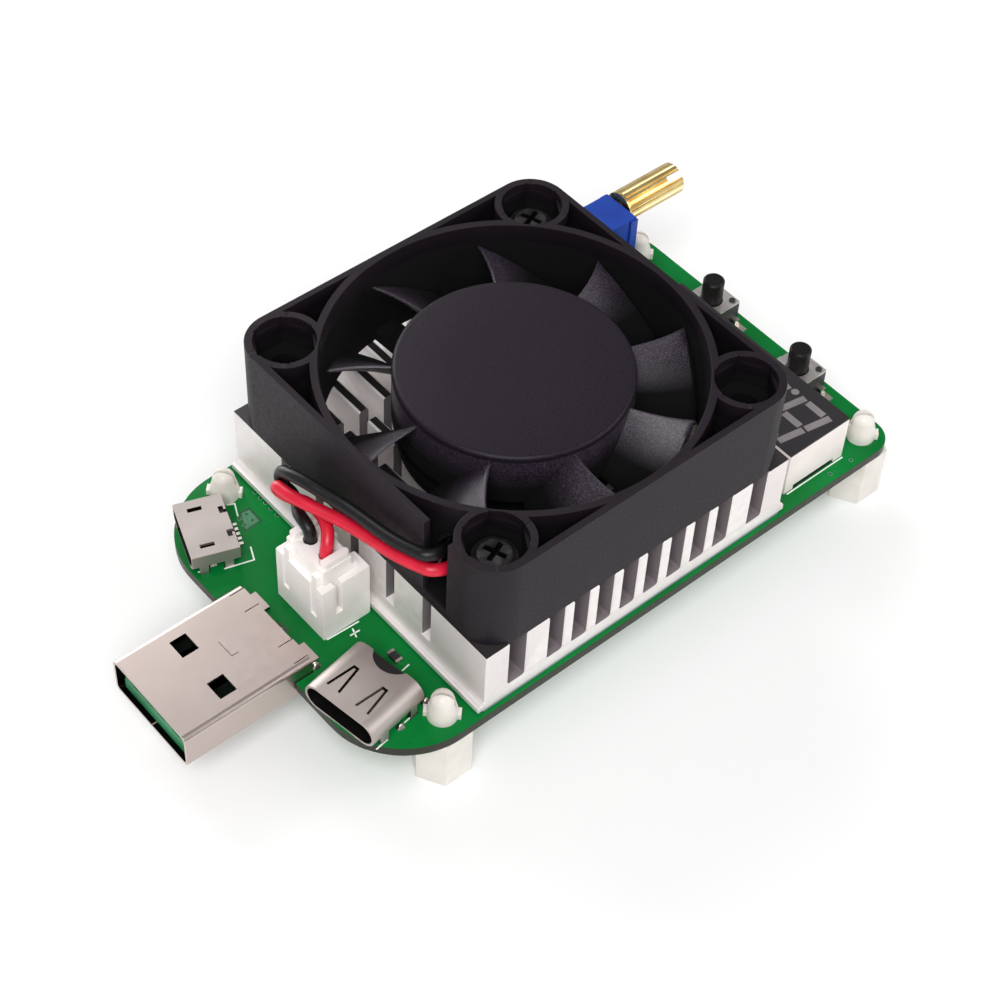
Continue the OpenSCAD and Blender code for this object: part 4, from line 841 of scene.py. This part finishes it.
def leadRoutes(w):
    # points listed one by one, from the fan's corner and from the middle of the plug's contacts
    x, y, z = fanLow
    c = sum(corner[0] for corner in cornersOf("plug_contacts")) / 2
    h, p = w["houseTop"], w["pitch"] / 2
    red = [strutPoint(w, 8.6, 0.7, 2.8), strutPoint(w, 18.2, 0.7, 2.8), strutPoint(w, 20.4, 0.7, 3.8),
           [x + 1.7, y + 7.5, z + 5.2], [x + 0.5, y + 7.4, z + 5.8], [x - 0.45, y + 7.95, z + 5.95],
           [x - 0.85, y + 9, z + 5.8], [c + 1.95, -1.3, h + 3.6], [c - 0.1, 5.1, h + 3.55],
           [c - 0.1, 6.15, h + 3.3], [c + 0.05, 6.5, h + 2.65], [c + 0.4, 6.2, h + 2],
           [c + 0.85, 5.2, h + 1.85], [c + 1.45, 3.6, h + 2.1], [c + 1.65, 1.7, h + 2.05],
           [c + 1, -0.2, h + 1.85], [c + 0.3, 0.2 - p, h + 1.15], [c, -p, h + 0.35], [c, -p, h - 0.4],
           [c, -p, h - 1.5]]
    black = [strutPoint(w, 8.6, -0.7, 2.8), strutPoint(w, 18.2, -0.7, 2.8), strutPoint(w, 20.4, -0.7, 5),
             [x + 1.4, y + 8.4, z + 6.9], [x + 0.45, y + 8.1, z + 7.5], [x - 0.5, y + 8.6, z + 7.55],
             [x - 0.85, y + 9.6, z + 7.4], [c + 2.35, -0.9, h + 5.35], [c + 0.9, 5.6, h + 5],
             [c + 0.95, 6.8, h + 4.2], [c + 1.05, 7.35, h + 2.9], [c + 1.3, 7.2, h + 1.6],
             [c + 1.7, 6.5, h + 0.8], [c + 1.5, 5.4, h + 0.55], [c + 0.8, 4.2, h + 0.75],
             [c + 0.3, 3.1, h + 1.35], [c + 0.1, 2.3, h + 1.55], [c, 1.4, h + 1.2], [c, p, h + 0.35],
             [c, p, h - 0.4], [c, p, h - 1.5]]
    return np.array(red), np.array(black)


def smoothRoute(p, steps):
    # cubic between each pair of points, with the heading of the circle through three neighbours
    step = np.diff(p, axis=0)
    size = np.linalg.norm(step, axis=1, keepdims=True)
    unit = step / size
    inner = size[1:] * unit[:-1] + size[:-1] * unit[1:]
    heading = np.concatenate([unit[:1], inner / np.linalg.norm(inner, axis=1, keepdims=True), unit[-1:]])
    t = np.linspace(0, 1, steps, endpoint=False)[None, :, None]
    b, c = p[:-1, None], p[1:, None]
    u, v = size[:, None] * heading[:-1, None], size[:, None] * heading[1:, None]
    curve = b + t * u + t ** 2 * (3 * (c - b) - 2 * u - v) + t ** 3 * (2 * (b - c) + u + v)
    return np.concatenate([curve.reshape(-1, 3), p[-1:]])


def makeTube(route, radius, sides, firstSide=(0.1, 1.0, 0.2)):
    # a circle carried along the route without twist, closed by a cap at each end
    tangent = np.gradient(route, axis=0)
    tangent /= np.linalg.norm(tangent, axis=1, keepdims=True)
    side = np.empty_like(tangent)
    s = np.array(firstSide)
    for k, t in enumerate(tangent):
        s = s - (s @ t) * t
        s = s / np.linalg.norm(s)
        side[k] = s
    a = np.linspace(0, 2 * np.pi, sides, endpoint=False)[None, :, None]
    rings = np.cos(a) * side[:, None] + np.sin(a) * np.cross(tangent, side)[:, None]
    rings = route[:, None] + radius * rings
    n = len(route) * sides
    faces = list(gridFaces(len(route), sides, roundColumns=True))
    faces += capFaces(n, 0, sides, True) + capFaces(n + 1, n - sides, sides, False)
    return np.concatenate([rings.reshape(-1, 3), route[[0, -1]]]), faces


def makeLeads(w):
    red, black = leadRoutes(w)
    for name, look, node, route in (("redLead", "redSleeve", "lead_red", red),
                                    ("blackLead", "blackSleeve", "lead_black", black)):
        points, faces = makeTube(smoothRoute(route, w["steps"]), w["radius"], w["sides"])
        placePiece(meshFromArrays(name, points, faces, look, smooth=60), bodyOf[node], slotOf[node], node)


makeLeads(leads)
print("leads made")

# white printed lines on the board
silk = {"width": 0.16, "height": 0.02, "sunk": 0.005, "lines": [
    [(-21.42, 16.37), (-20.64, 15.99), (-21.38, 14.42)], [(-22.74, 10.36), (-23.45, 8.76), (-26.49, 9.68)],
    [(-28.79, 10.98), (-28.18, 10.58)], [(-23.83, -3.81), (-20.0, -3.97)], [(-21.76, -4.83), (-20.6, -4.88)],
    [(-21.04, -4.28), (-21.39, -5.38)], [(-20.43, -11.34), (-19.42, -11.17)],
    [(-22.76, -16.03), (-24.59, -16.32)], [(-26.48, -16.72), (-28.05, -16.96)],
    [(25.2, -18.75), (33.59, -18.75)]]}


def makeStrip(line, width, low, high):
    # a flat bar along the line: left and right edges at the low and high level, corners mitred
    p = np.array(line, float)
    step = np.diff(p, axis=0)
    unit = step / np.linalg.norm(step, axis=1, keepdims=True)
    normal = np.stack([-unit[:, 1], unit[:, 0]], -1)
    edge = np.concatenate([normal[:1], normal[:-1] + normal[1:], normal[-1:]])
    edge /= (edge * np.concatenate([normal[:1], normal])).sum(1, keepdims=True)
    left, right = p + edge * width / 2, p - edge * width / 2
    n = len(p)
    ring = np.stack([np.c_[left, np.full(n, low)], np.c_[right, np.full(n, low)],
                     np.c_[right, np.full(n, high)], np.c_[left, np.full(n, high)]], 1)
    faces = list(gridFaces(n, 4, roundColumns=True)) + [np.array([3, 2, 1, 0]), np.arange(4) + 4 * (n - 1)]
    return ring.reshape(-1, 3), faces


def makeSilk(s):
    parts = [makeStrip(line, s["width"], deck - s["sunk"], deck + s["height"]) for line in s["lines"]]
    placePiece(meshFromArrays("silkLines", *joinParts(parts), "silkInk"), "load", "pcb")


makeSilk(silk)

# bare pads and plated holes of the board, with a dark plate of painted shade under the display case and dark
# discs of painted shade in the holes
marks = {"padsAndShadePlate": [("padDark", 0.008, [(-20.98, 14.75), (-19.75, 14.62), (-19.74, 12.37), (-22.03, 12.25)]),
                  ("padPale", 0.016, [(-20.92, 14.5), (-19.95, 14.4), (-20.0, 12.55), (-21.75, 12.48)]),
                  ("padDark", 0.008, [(-27.9, 1.05), (-26.1, 0.9), (-25.95, -0.62), (-27.9, -0.4)]),
                  # painted shade: a dark plate on the board under the display case's edge
                  ("blackInsert", 0.008, [(25.1, -18.5), (33.4, -18.5), (33.4, -14), (25.1, -14)])],
         "holes": [(-18.1, 15.94), (-18.11, 14.97), (-18.12, 14.1), (-18.14, 13.11), (-18.15, 12.05),
                   (-20.52, 14.1), (-20.52, 13.08), (-21.51, 13.03), (-21.45, 14.05), (34.0, -19.62),
                   (30.86, -19.62)],
         "ringOut": 0.27, "ringIn": 0.13, "ringEdge": 0.02, "ringCrest": 0.035, "slopeOut": 0.03,
         "slopeIn": 0.04, "floorReach": 0.01, "floorHeight": 0.018, "sunk": 0.01, "sides": 20}


def makePatch(corners, low, high):
    # a flat plate: the outline at the low and the high level, joined round the side
    outline = np.array(corners, float)
    n = len(outline)
    points = np.concatenate([np.c_[outline, np.full(n, low)], np.c_[outline, np.full(n, high)]])
    return points, list(gridFaces(2, n, roundColumns=True)) + [np.arange(n)[::-1], np.arange(n) + n]


def makeRing(x, y, m):
    # a low rounded rim about a hole
    low, edge, crest = deck - m["sunk"], deck + m["ringEdge"], deck + m["ringCrest"]
    return turnProfile([[m["ringIn"], low], [m["ringOut"], low], [m["ringOut"] - m["slopeOut"], edge],
                        [m["ringIn"] + m["slopeIn"], crest], [m["ringIn"], edge]], m["sides"], x, y)


def makeMarks(m):
    low = deck - m["sunk"]
    for k, (look, height, corners) in enumerate(m["padsAndShadePlate"]):
        pad = makePatch(corners, low, deck + height)
        placePiece(meshFromArrays("boardPatch%d" % k, *pad, look), "load", "pcb")
    rims = joinParts([makeRing(x, y, m) for x, y in m["holes"]])
    placePiece(meshFromArrays("holeRims", *rims, "padPale", smooth=60), "load", "pcb")
    # painted shade: a dark disc just inside each rim stands for the shade down the hole
    turn = np.linspace(0, 2 * np.pi, m["sides"], endpoint=False)
    circle = (m["ringIn"] + m["floorReach"]) * np.stack([np.cos(turn), np.sin(turn)], -1)
    holeShades = joinParts([makePatch(circle + place, low, deck + m["floorHeight"]) for place in m["holes"]])
    placePiece(meshFromArrays("holeShadeDiscs", *holeShades, "blackInsert"), "load", "pcb")


makeMarks(marks)

# solder mounds on the board: middle, half sizes, height and turn
solder = {"rings": 7, "around": 28, "sunk": 0.02, "mounds": [
    (-27.05, 0.2, 0.8, 0.5, 0.5, -8), (-27.03, 10.97, 0.7, 0.45, 0.5, -20),
    (-24.61, -16.37, 0.6, 0.42, 0.5, 9), (-20.91, -15.57, 0.6, 0.42, 0.5, 9),
    (-26.6, -5.6, 0.6, 0.5, 0.5, 0)]}


def makeMound(x, y, a, b, height, turn, m):
    # the height falls as one minus the square of the reach, to the power one and a half; flat underneath
    u = np.linspace(0, 1, m["rings"])[:, None]
    t = np.linspace(0, 2 * np.pi, m["around"], endpoint=False)[None, :]
    c, s = math.cos(math.radians(turn)), math.sin(math.radians(turn))
    px, py = a * u * np.cos(t), b * u * np.sin(t)
    z = deck + height * (1 - u ** 2) ** 1.5 + 0 * t
    top = np.stack([x + c * px - s * py, y + s * px + c * py, z], -1)
    low = deck - m["sunk"]
    base = np.c_[top[-1, :, :2], np.full(m["around"], low)]
    points = np.concatenate([top.reshape(-1, 3), base, [[x, y, low]]])
    n = (m["rings"] + 1) * m["around"]
    faces = list(gridFaces(m["rings"] + 1, m["around"], roundColumns=True))
    return points, faces + capFaces(n, n - m["around"], m["around"], True)


def makeSolder(s):
    parts = [makeMound(*mound, s) for mound in s["mounds"]]
    placePiece(meshFromArrays("solderMounds", *joinParts(parts), "solder", smooth=60), "load", "tin")


makeSolder(solder)
print("board print and solder made")
